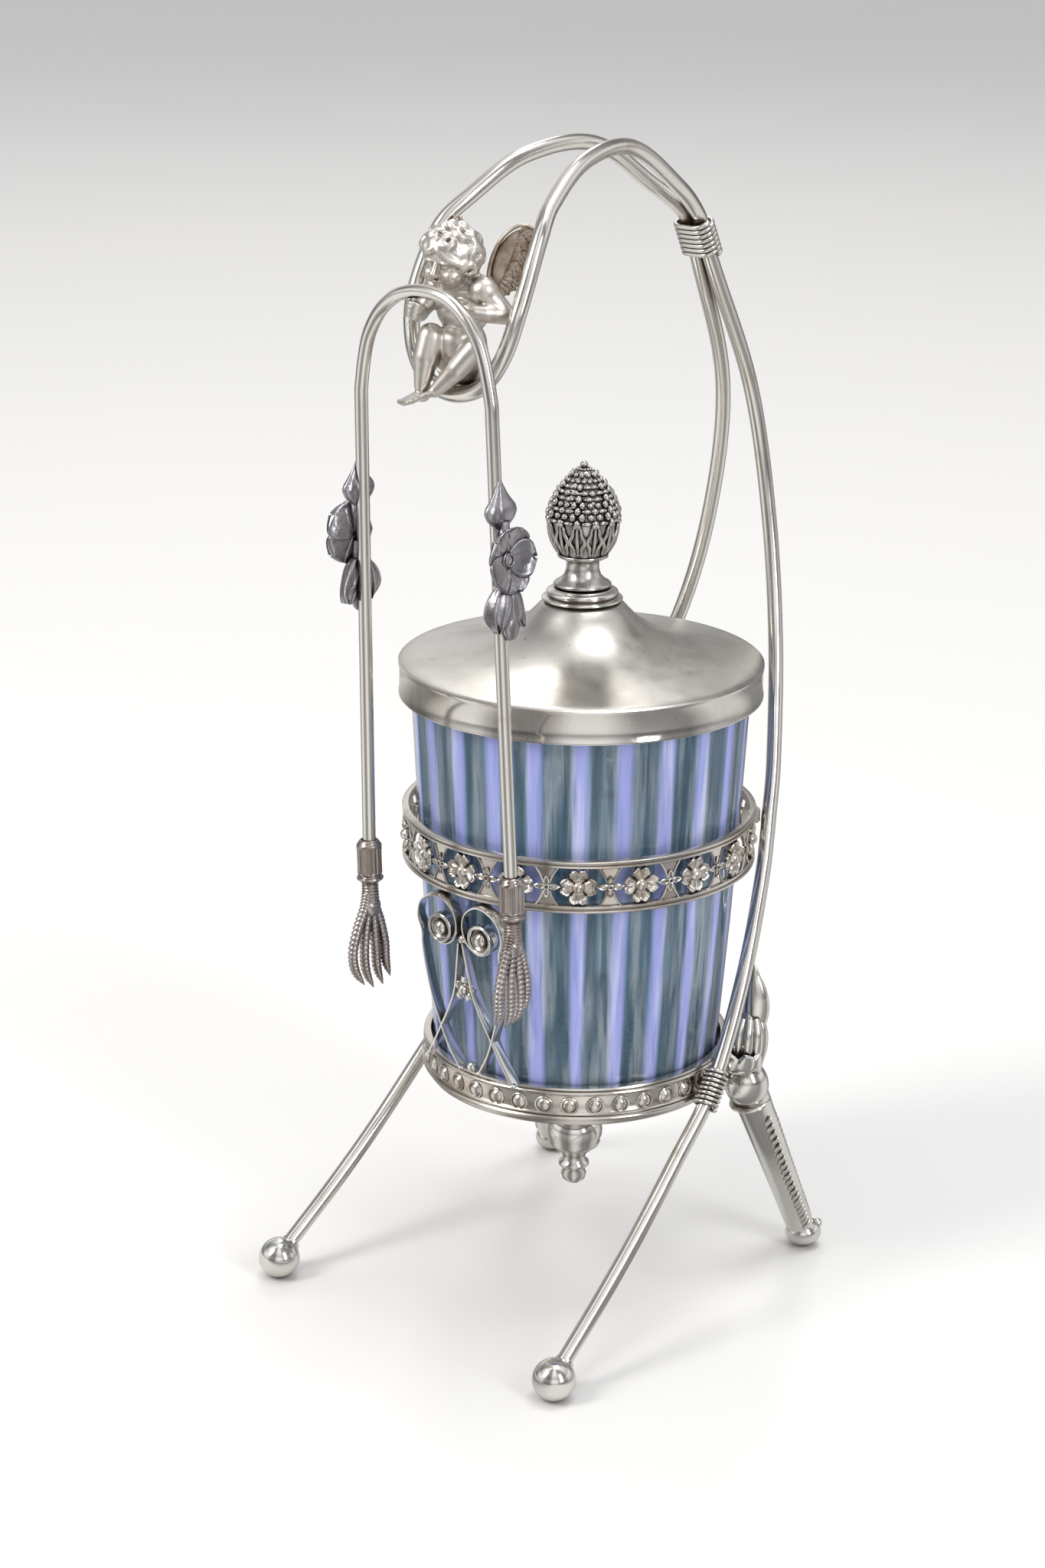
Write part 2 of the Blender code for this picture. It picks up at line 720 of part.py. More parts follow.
def make_rods():
    keys = rod_keys()
    path = smooth_path(keys, 2)
    right = tube("frame_rod_right", path, rod_radius)
    add_object("frame_rod_left", mirrored(right, "frame_rod_left"), silver)
    add_object("frame_rod_right", right, silver)
    for name, side in (("left", -1), ("right", 1)):
        centre = Vector((side * foot_half_spread, -foot_reach, ball_radius - ball_flat))
        foot = ball("ball_foot_" + name, centre, (ball_radius, ball_radius, ball_radius), 14, 8)
        floor_sides = (3 * ball_radius, 3 * ball_radius, 2 * ball_radius)
        floor = block("floor", (centre.x, centre.y, -ball_radius), floor_sides)
        add_object("ball_foot_" + name, combine(foot, [floor], "DIFFERENCE"), silver)
    place = keys[4]
    axis = (keys[5] - keys[3]).normalized()
    side = axis.cross(Vector((0, 0, 1))).normalized()
    pitch = 2 * ring_binding_wire + coil_wire_gap
    right = winding(
        "ring_binding_right", place, axis, side, 0, binding_radius, ring_binding_turns, pitch,
        ring_binding_wire, 8,
    )
    add_object("ring_binding_left", mirrored(right, "ring_binding_left"), silver)
    add_object("ring_binding_right", right, silver)
    top = winding(
        "top_binding", coil_centre, coil_axis, Vector((1, 0, 0)), twin_offset,
        rod_radius + fit_gap + bore_gap + coil_wire, coil_turns, coil_pitch, coil_wire, 10,
    )
    add_object("top_binding", top, silver)


def make_lugs():
    for name, side in (("left", -1), ("right", 1)):
        angle = band_rod_angle if side > 0 else math.pi - band_rod_angle
        length = band_rim + lug_length - fit_gap
        place = polar(band_radius + fit_gap + length / 2, angle, band_middle)
        turn = Matrix.Rotation(angle, 3, "Z")
        lug = block("band_lug_" + name, place, (length, lug_width, lug_height), turn)
        add_object("band_lug_" + name, lug, silver)


def hoop_keys():
    side = Vector((twin_offset, 0, 0))
    keys = [
        coil_centre + side + coil_axis * (rest_gap / 2),
        coil_centre + side + coil_axis * (coil_length / 2 + coil_pitch),
    ]
    for out, reach, up in hoop_shares:
        keys.append(Vector((hoop_half_width * out, hoop_reach * reach, between(hoop_bottom, hoop_top, up))))
    return keys


def hoop_path():
    right = hoop_keys()
    left = [Vector((-key.x, key.y, key.z)) for key in right]
    keys = right + [Vector((0, -hoop_reach, hoop_bottom))] + left[::-1]
    return smooth_path(keys, 2)


def make_rear_legs():
    """Cast legs: a ridged trunk between a rounded foot and a swollen head, with a leaf above."""
    head_reach = ring_radius + ring_bead + fit_gap + rear_head_radius
    head = polar(head_reach, rear_head_angle, ring_middle - ring_height * 0.35)
    foot = Vector((rear_foot_x, rear_foot_y, rear_foot_radius * 0.85))
    bow_out = Vector((-rear_leg_ridge * 4, rear_leg_ridge * 4, 0))
    keys = [foot, foot.lerp(head, 0.25) + bow_out, foot.lerp(head, 0.6), head]
    path = smooth_path(keys, rear_leg_ridges * 2 // 3)
    radii = []
    for i in range(len(path)):
        share = i / (len(path) - 1)
        ridge = rear_leg_ridge / rear_leg_radius * (1 if i % 2 else -1)
        radii.append(between(0.94, 1.22, share**2) + (ridge if 0.06 < share < 0.86 else 0))
    trunk = tube("rear_leg_right", path, rear_leg_radius, resolution=1, radii=radii)
    tip = ball("tip", foot, (rear_foot_radius * 1.05, rear_foot_radius * 1.1, rear_foot_radius), 10, 7)
    knee = ball("knee", head, (rear_head_radius, rear_head_radius, rear_head_radius * 1.35), 10, 7)
    leaf_root = head + Vector((0, 0, rear_head_radius * 0.4))
    leaf_tip = polar(head_reach + leaf_thickness, leaf_angle, leaf_root.z + leaf_length)
    way = (leaf_tip - leaf_root).normalized()
    out = polar(1, (rear_head_angle + leaf_angle) / 2, 0)
    across = way.cross(out).normalized()
    turn = Matrix((across.cross(way), across, way)).transposed()
    leaf_sides = (leaf_thickness / 2, leaf_width / 2, (leaf_tip - leaf_root).length / 2)
    leaf = ball("leaf", (leaf_root + leaf_tip) / 2, leaf_sides, 8, 8, turn)
    floor_sides = (4 * ball_radius, 4 * ball_radius, 2 * ball_radius)
    floor = block("floor", (foot.x, foot.y, -ball_radius), floor_sides)
    right = combine(fuse([trunk, tip, knee, leaf]), [floor], "DIFFERENCE")
    right.name = "rear_leg_right"
    add_object("rear_leg_left", mirrored(right, "rear_leg_left"), dark_silver)
    add_object("rear_leg_right", right, dark_silver)


def strap(name, keys, reach_at):
    """A flat strap on edge: it follows the keys' (x, z) line and leans back towards its foot."""
    path = smooth_path([Vector((x, 0, z)) for x, z in keys], 2)
    bm = bmesh.new()
    rows = []
    for place in path:
        reach = reach_at(place.z)
        row = [bm.verts.new((place.x, -reach + strap_width * end, place.z)) for end in (-0.5, 0.5)]
        rows.append(row)
    for first, second in zip(rows, rows[1:]):
        bm.faces.new((first[0], first[1], second[1], second[0]))
    mesh = mesh_from(bm, name)
    made = add_cutter(name, mesh)
    solid = made.modifiers.new("thickness", "SOLIDIFY")
    solid.thickness = strap_thickness
    solid.offset = 0
    return evaluated_mesh(made, name)


# Strap key places from the foot up: shares of the scroll's half width and of its height
outer_strap_shares = ((-0.20, 0.0), (-0.42, 0.12), (-0.56, 0.23), (-0.72, 0.39), (-0.81, 0.54), (-0.86, 0.68))
inner_strap_shares = (
    (-0.96, 0.0), (-0.72, 0.13), (-0.52, 0.25), (-0.34, 0.36), (-0.20, 0.47), (-0.12, 0.60), (-0.04, 0.76)
)
# The curl round the boss: its turn in half circles, and its reach as a share of the scroll's half width
curl_shares = (
    (1.11, 0.44), (0.92, 0.50), (0.72, 0.565), (0.5, 0.58), (0.3, 0.50), (0.1, 0.39), (-0.15, 0.31),
    (-0.45, 0.27), (-0.78, 0.25), (-1.1, 0.24), (-1.4, 0.23),
)
boss_out_share = 0.434
knob_up_share = 0.775
rosette_up_share = 0.49


def make_scroll():
    """The lyre of straps in front of the jar, from the tray ring up to the band."""
    low = ring_top + rest_gap + strap_thickness / 2
    high = band_bottom - rest_gap - strap_thickness / 2
    reach_low = ring_radius + ring_bead + strap_width * (0.5 - ring_bead / rod_radius)
    reach_high = band_radius + band_rim + fit_gap + strap_width * (0.5 - 2 * fit_gap / band_rim)

    def reach_at(height):
        return between(reach_low, reach_high, (height - low) / (high - low))

    def in_front(across, up):
        height = between(low, high, up)
        return Vector((across, -reach_at(height), height))

    curl_height = high - scroll_half_width * max(reach for turn, reach in curl_shares)
    curl = []
    for turn, reach in curl_shares:
        across = scroll_half_width * (reach * math.cos(math.pi * turn) - boss_out_share)
        curl.append((across, curl_height + scroll_half_width * reach * math.sin(math.pi * turn)))
    outer = [(scroll_half_width * out, between(low, high, up)) for out, up in outer_strap_shares] + curl
    inner = [(scroll_half_width * out, between(low, high, up)) for out, up in inner_strap_shares]
    boss_place = Vector((-scroll_half_width * boss_out_share, -reach_at(curl_height), curl_height))
    disc_half = Vector((0, strap_width / 4, 0))
    disc_radius = scroll_half_width * curl_shares[-1][1]
    ball_place = boss_place - 2 * disc_half
    pieces = [
        strap("outer", outer, reach_at),
        strap("inner", inner, reach_at),
        rod_between("disc", boss_place - disc_half, boss_place + disc_half, disc_radius, disc_radius, 16),
        ball("boss", ball_place, (scroll_boss_radius, scroll_boss_radius * 0.6, scroll_boss_radius), 10, 6),
    ]
    left = fuse(pieces)
    right = mirrored(left, "right_half")
    knob = ball("knob", in_front(0, knob_up_share), (knob_radius, knob_radius, knob_radius), 8, 6)
    rosette_sides = (rosette_radius, strap_width / 2, rosette_radius)
    rosette = ball("rosette", in_front(0, rosette_up_share), rosette_sides, 10, 6)
    whole = fuse([left, right, knob, rosette])
    add_object("front_scroll", whole, silver)
    stud_place = (0, -reach_low, low + knob_radius * 0.7)
    stud = ball("scroll_stud", stud_place, (knob_radius, knob_radius, knob_radius), 10, 6)
    add_object("scroll_stud", stud, silver)


# Cherub: places and sizes as shares of its height, from the seat
cherub_round_shares = (
    ("belly", (0.0, 0.03, 0.27), (0.15, 0.125, 0.17)),
    ("chest", (0.0, 0.02, 0.48), (0.165, 0.115, 0.15)),
    ("hips", (0.0, 0.05, 0.13), (0.17, 0.13, 0.12)),
    ("head", (0.0, -0.045, 0.80), (0.155, 0.165, 0.195)),
)
cherub_limb_shares = (
    ((-0.15, 0.0, 0.55), (-0.235, -0.07, 0.40), 0.062, 0.050),
    ((-0.235, -0.07, 0.40), (-0.054, -0.262, 0.478), 0.050, 0.038),
    ((0.15, 0.02, 0.55), (0.25, 0.10, 0.43), 0.062, 0.050),
    ((0.25, 0.10, 0.43), (0.19, -0.13, 0.475), 0.050, 0.040),
    ((-0.07, 0.0, 0.15), (-0.09, -0.14, 0.30), 0.085, 0.072),
    ((-0.09, -0.14, 0.30), (-0.10, -0.18, 0.03), 0.068, 0.042),
    ((-0.10, -0.18, 0.0), (-0.13, -0.27, -0.02), 0.042, 0.032),
    ((0.08, 0.0, 0.15), (0.08, -0.14, 0.29), 0.085, 0.072),
    ((0.08, -0.14, 0.29), (0.03, -0.19, 0.06), 0.066, 0.042),
    ((0.03, -0.19, 0.04), (0.03, -0.28, 0.02), 0.042, 0.032),
    ((0.0, 0.0, 0.6), (0.0, -0.03, 0.68), 0.07, 0.065),
)
# A wing's root and tip as shares of the cherub's height from the seat, and the way that its face looks
wing_shares = ((0.12, 0.185, 0.52), (0.255, 0.30, 0.88), (-0.593, 0.795, 0.124))
wing_width_share = 0.25
cherub_seat = Vector((0, -hoop_reach + rod_radius, hoop_bottom + rod_radius * 0.5))
left_fist_share = (0.185, -0.15, 0.478)
right_wrist_share = (-0.054, -0.262, 0.478)
fist_share = 0.058
hand_height = cherub_seat.z + cherub_height * right_wrist_share[2]


def cherub_place(share):
    return cherub_seat + Vector(share) * cherub_height


def make_cherub():
    """The seated cherub: rounded body, head, limbs and fists, grooved below where it sits on the hoop."""
    pieces = []
    for name, place, size in cherub_round_shares:
        pieces.append(ball(name, cherub_place(place), [cherub_height * s for s in size], 10, 7))
    for start, end, thick, thin in cherub_limb_shares:
        first = cherub_place(start)
        last = cherub_place(end)
        pieces.append(rod_between("limb", first, last, cherub_height * thick, cherub_height * thin, 6))
        size = cherub_height * thin * 1.02
        pieces.append(ball("joint", last, (size, size, size), 6, 4))
    fist = cherub_height * fist_share
    fist_height = tongs_rest_height - tong_wire - rest_gap - fist
    right_fist = Vector((cherub_height * right_wrist_share[0], bow_plane, fist_height))
    pieces.append(ball("fist", right_fist, (fist, fist, fist), 8, 6))
    wrist = cherub_place(right_wrist_share)
    pieces.append(rod_between("wrist", wrist, right_fist, cherub_height * 0.038, cherub_height * 0.036, 6))
    pieces.append(ball("fist", cherub_place(left_fist_share), (fist * 0.85, fist * 0.85, fist * 0.85), 8, 6))
    hoop_space = tube("hoop_space", hoop_path(), rod_radius + fit_gap)
    body = fuse(pieces)
    body.name = "cherub"
    add_object("cherub", combine(body, [hoop_space], "DIFFERENCE"), silver)
    for name, side in (("left", -1), ("right", 1)):
        root, tip, out = [Vector((side * share[0], share[1], share[2])) for share in wing_shares]
        root = cherub_place(root)
        tip = cherub_place(tip)
        way = (tip - root).normalized()
        across = way.cross(out).normalized()
        turn = Matrix((across.cross(way), across, way)).transposed()
        wing = ball(
            "wing_" + name, (root + tip) / 2,
            (wing_thickness / 2, cherub_height * wing_width_share / 2, (tip - root).length * 0.56),
            10, 8, turn,
        )
        add_object("cherub_wing_" + name, wing, silver)


# Tongs
tongs_rest_height = hand_height + cherub_height * fist_share + tong_wire + rest_gap
bow_shares = (
    (0.0, 1.0), (0.20, 0.985), (0.41, 0.93), (0.645, 0.785), (0.81, 0.595), (0.887, 0.445),
    (0.955, 0.215), (1.0, 0.0),
)


def make_tongs():
    """A sprung bow with two arms; each arm carries an ornament, a fluted sleeve and a claw."""
    apex = Vector((0, bow_plane, tongs_rest_height))
    lean = Matrix.Translation(apex) @ Matrix.Rotation(-tong_lean, 4, "Y") @ Matrix.Translation(-apex)
    tongs_joint = add_joint("tongs_lift_axis", apex)
    shoulder = tongs_rest_height - tong_shoulder
    half = [
        Vector((tong_half_width * out, bow_plane, between(shoulder, tongs_rest_height, up)))
        for out, up in bow_shares
    ]
    keys = [Vector((-key.x, key.y, key.z)) for key in half[::-1]] + half[1:]
    bow = moved(tube("tong_bow", smooth_path(keys, 2), tong_wire), lean)
    add_object("tong_bow", bow, silver, tongs_joint)
    for name, side in (("left", -1), ("right", 1)):
        pivot = lean @ Vector((side * tong_half_width, bow_plane, shoulder))
        joint = add_joint("tong_" + name + "_axis", pivot)
        joint.parent = tongs_joint
        joint.matrix_parent_inverse = tongs_joint.matrix_world.inverted()
        make_arm(name, side, shoulder, lean, joint)


def make_arm(name, side, shoulder, lean, joint):
    def spread(height):
        return side * (tong_half_width + tong_spread * (shoulder - height) / arm_length)

    top = shoulder - 2 * rest_gap
    bottom = shoulder - arm_length
    arm = rod_between(
        "tong_arm_" + name, Vector((spread(top), bow_plane, top)),
        Vector((spread(bottom), bow_plane, bottom)), tong_wire, tong_wire, 12,
    )
    add_object("tong_arm_" + name, moved(arm, lean), silver, joint)
    face = tong_wire + fit_gap + ornament_thickness / 2

    def ornament_place(down, out=0.0):
        height = shoulder - down
        return Vector((spread(height) + side * (face + out), bow_plane, height))

    flower = ornament_place(flower_radius * 4.3)
    thin = ornament_thickness / 2
    pieces = [petal_plate(flower, flower_radius)]
    eye = flower + Vector((side * thin, 0, 0))
    pieces.append(ball("eye", eye, (thin, flower_radius * 0.3, flower_radius * 0.3), 8, 4))
    bud = ornament_place(flower_radius * 2.7)
    pieces.append(ball("bud", bud, (thin * 1.3, flower_radius * 0.6, flower_radius * 0.95), 8, 6))
    for way in (-1, 1):
        leaf_place = ornament_place(flower_radius * 5.6) + Vector((0, way * flower_radius * 0.36, 0))
        tilt = Matrix.Rotation(way * 0.35, 3, "X")
        leaf_sides = (thin * 1.1, flower_radius * 0.42, flower_radius * 0.85)
        pieces.append(ball("leaf", leaf_place, leaf_sides, 8, 6, tilt))
    ornament = fuse(pieces)
    add_object("tong_ornament_" + name, moved(ornament, lean), dull_silver, joint)
    sleeve_top = bottom + sleeve_length * 0.55
    make_sleeve(name, spread, sleeve_top, bottom, lean, joint)
    make_claw(name, side, spread, sleeve_top - sleeve_length - rest_gap, lean, joint)


def petal_plate(centre, size):
    """A five-petalled flower cut from plate, facing out along X."""
    bm = bmesh.new()
    rim = []
    for i in range(15):
        around = 2 * math.pi * i / 15
        out = size * (1.0 if i % 3 else 0.72)
        place = Vector((-ornament_thickness / 2, out * math.sin(around) * 0.86, out * math.cos(around)))
        rim.append(bm.verts.new(centre + place))
    face = bm.faces.new(rim)
    made = bmesh.ops.extrude_face_region(bm, geom=[face])
    grown = [item for item in made["geom"] if isinstance(item, bmesh.types.BMVert)]
    bmesh.ops.translate(bm, verts=grown, vec=(ornament_thickness, 0, 0))
    return mesh_from(bm, "petals")


def make_sleeve(name, spread, top, bottom, lean, joint):
    """A fluted sleeve over the arm's end, closed below."""
    bore = tong_wire + fit_gap
    low = top - sleeve_length
    profile = [
        (0, bottom - rest_gap), (bore, bottom - rest_gap), (bore, top), (sleeve_radius * 0.8, top),
        (sleeve_radius, top - sleeve_length * 0.10), (sleeve_radius, top - sleeve_length * 0.8),
        (sleeve_radius * 0.84, top - sleeve_length * 0.86),
        (sleeve_radius * 1.05, top - sleeve_length * 0.93), (sleeve_radius * 0.8, low), (0, low),
    ]
    mesh = turned("tong_sleeve_" + name, profile, 20)
    for vertex in mesh.vertices:
        radius = math.hypot(vertex.co.x, vertex.co.y)
        share = (top - vertex.co.z) / sleeve_length
        if radius > bore + weld and 0.1 < share < 0.83:
            flute = 1 - 0.07 * (round(math.atan2(vertex.co.y, vertex.co.x) / math.radians(18)) % 2)
            vertex.co.x *= flute
            vertex.co.y *= flute
    mesh.transform(Matrix.Translation((spread(bottom), bow_plane, 0)))
    add_object("tong_sleeve_" + name, moved(mesh, lean), dull_silver, joint)


# Toe key places from the wrist: shares of the claw's spread outwards and sideways, and of its length down
toe_key_shares = (
    (0.0, 0.25, 0.0), (0.32, 0.62, 0.2), (0.42, 0.96, 0.44), (0.26, 1.0, 0.64), (-0.2, 0.9, 0.78),
)
toe_side_shares = (-1.0, -0.33, 0.33, 1.0)


def make_claw(name, side, spread, top, lean, joint):
    """A bird's claw: a wrist, then four ringed toes side by side that hook towards the other arm."""
    centre = Vector((spread(top), bow_plane, top))
    wrist = centre - Vector((0, 0, claw_length * 0.22))
    pieces = [rod_between("wrist", centre, wrist, sleeve_radius * 0.62, sleeve_radius * 0.9, 10)]
    for toe_side in toe_side_shares:
        keys = []
        for out, across, down in toe_key_shares:
            away = Vector((side * claw_spread * out, toe_side * claw_spread * across, -claw_length * down))
            keys.append(wrist + away)
        path = smooth_path(keys, 2)
        radii = []
        for i in range(len(path)):
            radii.append((1.0 - 0.62 * (i / (len(path) - 1)) ** 2) * (1.07 if i % 2 else 0.93))
        pieces.append(tube("toe", path, finger_radius, resolution=1, radii=radii))
    claw = fuse(pieces)
    add_object("tong_claw_" + name, moved(claw, lean), dark_silver, joint)


make_jar()
make_lid()
make_tray()
make_band()
make_rods()
make_lugs()
add_object("handle_hoop", tube("handle_hoop", hoop_path(), rod_radius), silver)
make_rear_legs()
make_scroll()
make_cherub()
make_tongs()
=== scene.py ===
"""Looks of the pickle castor: aged plate, striped glass and every fine form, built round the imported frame."""
import math
import random

import bmesh
import bpy
from mathutils import Matrix, Vector


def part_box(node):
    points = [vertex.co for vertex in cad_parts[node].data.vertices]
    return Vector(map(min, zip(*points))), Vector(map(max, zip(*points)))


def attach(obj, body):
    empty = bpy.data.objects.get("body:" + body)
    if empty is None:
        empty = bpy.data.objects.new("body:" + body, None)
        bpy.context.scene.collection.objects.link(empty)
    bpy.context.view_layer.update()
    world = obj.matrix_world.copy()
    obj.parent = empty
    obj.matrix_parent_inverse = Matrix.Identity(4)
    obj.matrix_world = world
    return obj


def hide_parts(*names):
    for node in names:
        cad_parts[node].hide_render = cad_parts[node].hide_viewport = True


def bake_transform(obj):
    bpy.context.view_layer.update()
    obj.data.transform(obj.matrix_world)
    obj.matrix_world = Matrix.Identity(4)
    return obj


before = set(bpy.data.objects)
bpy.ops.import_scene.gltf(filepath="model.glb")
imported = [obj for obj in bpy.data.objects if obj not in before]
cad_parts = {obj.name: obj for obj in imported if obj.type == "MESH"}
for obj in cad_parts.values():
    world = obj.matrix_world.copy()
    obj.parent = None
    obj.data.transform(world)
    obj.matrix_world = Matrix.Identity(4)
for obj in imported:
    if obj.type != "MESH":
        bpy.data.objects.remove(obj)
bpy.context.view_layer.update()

# Sizes that the frame's pieces share, in metres, as the part has them
lid_radius = 0.0455
lid_wall = 0.0011
fit_gap = 0.0003
jar_seat = 0.0570
jar_height = 0.1052
jar_mouth = 0.0428
jar_foot = 0.0366
jar_wall = 0.0030
ring_bottom = 0.0537
ring_height = 0.0105
ring_radius = 0.0388
ring_bead = 0.0005
boss_count = 38
band_bottom = 0.1122
band_width = 0.0136
band_radius = 0.0440
band_wall = 0.0009
band_rim = 0.0008
band_repeats = 18
rod_radius = 0.00195
tong_wire = 0.00160
jar_top = jar_seat + jar_height
lid_edge = jar_top + fit_gap + lid_wall
lid_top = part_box("lid_cap")[1].z
rim_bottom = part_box("lid_cap")[0].z
band_middle = band_bottom + band_width / 2
ring_top = ring_bottom + ring_height

# Short words for what comes back everywhere
mm = 0.001
full_turn = 2 * math.pi
upward = Vector((0, 0, 1))
to_front = Vector((0, -1, 0))
mirrored = Matrix.Diagonal((-1, 1, 1, 1))
stud_bore = 1.7 * mm


# Small geometry helpers

def between(low, high, share):
    return low + (high - low) * share


def polar(radius, angle, height):
    return Vector((radius * math.cos(angle), radius * math.sin(angle), height))


def smooth_path(keys, per_span):
    """Points on a smooth curve through the keys."""
    count = len(keys)
    slopes = []
    for i in range(count):
        before = keys[max(i - 1, 0)]
        after = keys[min(i + 1, count - 1)]
        slopes.append((after - before) / max((after - keys[i]).length + (keys[i] - before).length, 1e-6))
    path = []
    for i in range(count - 1):
        span = (keys[i + 1] - keys[i]).length
        for j in range(per_span):
            t = j / per_span
            path.append(
                keys[i] * (2 * t**3 - 3 * t**2 + 1)
                + slopes[i] * (t**3 - 2 * t**2 + t) * span
                + keys[i + 1] * (3 * t**2 - 2 * t**3)
                + slopes[i + 1] * (t**3 - t**2) * span
            )
    path.append(keys[-1])
    return path


def interpolate(table, at):
    """The table's value at a place: its rows are (place, value), in order."""
    if at <= table[0][0]:
        return table[0][1]
    for (low, first), (high, second) in zip(table, table[1:]):
        if at <= high:
            return between(first, second, (at - low) / (high - low))
    return table[-1][1]


def grid_faces(bm, rings, closed_round=True):
    """Four-sided faces between each row of points and the next."""
    count = len(rings[0])
    for first, second in zip(rings, rings[1:]):
        for j in range(count if closed_round else count - 1):
            k = (j + 1) % count
            bm.faces.new((first[j], first[k], second[k], second[j]))


def join_edges(bm, sides):
    """Closes the edge between the front and back grids of a thin leaf."""
    loops = []
    for rows in sides:
        near = [row[0] for row in rows]
        far = [row[-1] for row in rows[::-1]]
        loops.append(near + rows[-1][1:] + far[1:] + rows[0][::-1][1:-1])
    grid_faces(bm, loops)


def circle(centre, first, second, steps):
    """Points round a ring and back to the start; first and second are its two radii."""
    angles = [full_turn * i / steps for i in range(steps + 1)]
    return [centre + first * math.cos(a) + second * math.sin(a) for a in angles]


def sweep(bm, path, radius, sides=14, shape=None, up=None, taper=None, flat=1.0):
    """A tube along the path. shape(share, angle) and taper(share) scale its radius; flat squeezes it."""
    count = len(path)
    tangents = []
    for i in range(count):
        tangents.append((path[min(i + 1, count - 1)] - path[max(i - 1, 0)]).normalized())
    side = up if up is not None else upward
    if abs(side.dot(tangents[0])) > 0.95:
        side = Vector((0, 1, 0))
    rings = []
    for i in range(count):
        side = (side - tangents[i] * side.dot(tangents[i])).normalized()
        across = tangents[i].cross(side)
        share = i / (count - 1)
        scale = radius * (taper(share) if taper else 1.0)
        ring = []
        for j in range(sides):
            angle = full_turn * j / sides
            out = scale * (shape(share, angle) if shape else 1.0)
            place = path[i] + side * (out * math.cos(angle)) + across * (out * flat * math.sin(angle))
            ring.append(bm.verts.new(place))
        rings.append(ring)
    grid_faces(bm, rings)
    bm.faces.new(rings[0][::-1])
    bm.faces.new(rings[-1])


def lathe(bm, profile, steps, wobble=None, centre=Vector((0, 0, 0))):
    """A turned form about +Z. Ends on the axis close the profile, otherwise it closes on itself."""
    on_axis = 1e-7
    rings = []
    for radius, height in profile:
        if radius < on_axis:
            rings.append([bm.verts.new(centre + Vector((0, 0, height)))])
            continue
        ring = []
        for j in range(steps):
            angle = full_turn * j / steps
            out = radius + (wobble(radius, height, angle) if wobble else 0.0)
            ring.append(bm.verts.new(centre + polar(out, angle, height)))
        rings.append(ring)
    pairs = list(zip(rings, rings[1:]))
    if profile[0][0] >= on_axis:
        pairs.append((rings[-1], rings[0]))
    for first, second in pairs:
        for j in range(steps):
            k = (j + 1) % steps
            corners = [first[j % len(first)], first[k % len(first)]]
            corners += [second[k % len(second)], second[j % len(second)]]
            corners = [c for n, c in enumerate(corners) if c not in corners[:n]]
            if len(corners) > 2:
                bm.faces.new(corners)


def rounded(profile, radius_share=0.3, steps=3, closed=False):
    """The profile with its corners turned into short arcs."""
    out = []
    count = len(profile)
    for i, here in enumerate(profile):
        if not closed and i in (0, count - 1):
            out.append(here)
            continue
        here = Vector(here)
        before = Vector(profile[i - 1])
        after = Vector(profile[(i + 1) % count])
        start = here.lerp(before, radius_share)
        end = here.lerp(after, radius_share)
        for j in range(steps + 1):
            t = j / steps
            place = start * (1 - t) ** 2 + here * (2 * t * (1 - t)) + end * t**2
            out.append((max(place.x, 0.0), place.y))
    return out


def ellipsoid(bm, centre, radii, turn=None, segments=16, rings=10):
    shape = Matrix.Diagonal((*radii, 1.0))
    if turn is not None:
        shape = turn.to_4x4() @ shape
    matrix = Matrix.Translation(centre) @ shape
    bmesh.ops.create_uvsphere(bm, u_segments=segments, v_segments=rings, radius=1, matrix=matrix)


def ball(bm, centre, radius, segments=16, rings=10):
    ellipsoid(bm, centre, (radius,) * 3, None, segments, rings)


def capsule(bm, start, end, thick, thin, segments=14):
    """A rounded limb from start to end."""
    ball(bm, start, thick, segments)
    ball(bm, end, thin, segments)
    path = [start, start.lerp(end, 0.5), end]
    sweep(bm, path, thick, segments, taper=lambda s: between(1, thin / thick, s))


def aim(way, side=upward):
    """A turn that carries +Z to the way given, and +X near the side given."""
    z = way.normalized()
    x = side - z * side.dot(z)
    if x.length < 1e-4:
        x = Vector((1, 0, 0)) - z * z.x
    x.normalize()
    y = z.cross(x)
    return Matrix((x, y, z)).transposed()


def place_on(bm, place, turn):
    """Moves a small form from the origin to its place, with its +Z turned."""
    bmesh.ops.transform(bm, matrix=Matrix.Translation(place) @ turn.to_4x4(), verts=bm.verts)


def add_bmesh(target, source):
    """Copies a small bmesh into a larger one and frees it."""
    copies = {}
    for vertex in source.verts:
        copies[vertex] = target.verts.new(vertex.co)
    for face in source.faces:
        target.faces.new([copies[v] for v in face.verts])
    source.free()


def piece(name, bm, material, body, replaces=(), sharp=40):
    """An object from the bmesh that rides on a body, with its faces turned outward."""
    bmesh.ops.recalc_face_normals(bm, faces=bm.faces)
    mesh = bpy.data.meshes.new(name)
    bm.to_mesh(mesh)
    bm.free()
    return piece_from_mesh(name, mesh, material, body, replaces, sharp)


def turned(name, profile, steps, material, body, node, sharp=40, wobble=None):
    """A turned piece that replaces one node."""
    bm = bmesh.new()
    lathe(bm, profile, steps, wobble)
    piece(name, bm, material, body, [node], sharp=sharp)


def drawn_wire(name, path, radius, sides, node, sharp=60):
    """A bright wire of the stand that replaces one node."""
    bm = bmesh.new()
    sweep(bm, path, radius, sides)
    piece(name, bm, wire, "frame", [node], sharp=sharp)


def piece_from_mesh(name, mesh, material, body, replaces=(), sharp=40):
    mesh.shade_smooth()
    if sharp:
        mesh.set_sharp_from_angle(angle=math.radians(sharp))
    made = bpy.data.objects.new(name, mesh)
    bpy.context.scene.collection.objects.link(made)
    mesh.materials.clear()
    mesh.materials.append(material)
    if body:
        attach(made, body)
    if replaces:
        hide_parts(*replaces)
    return made


# Materials

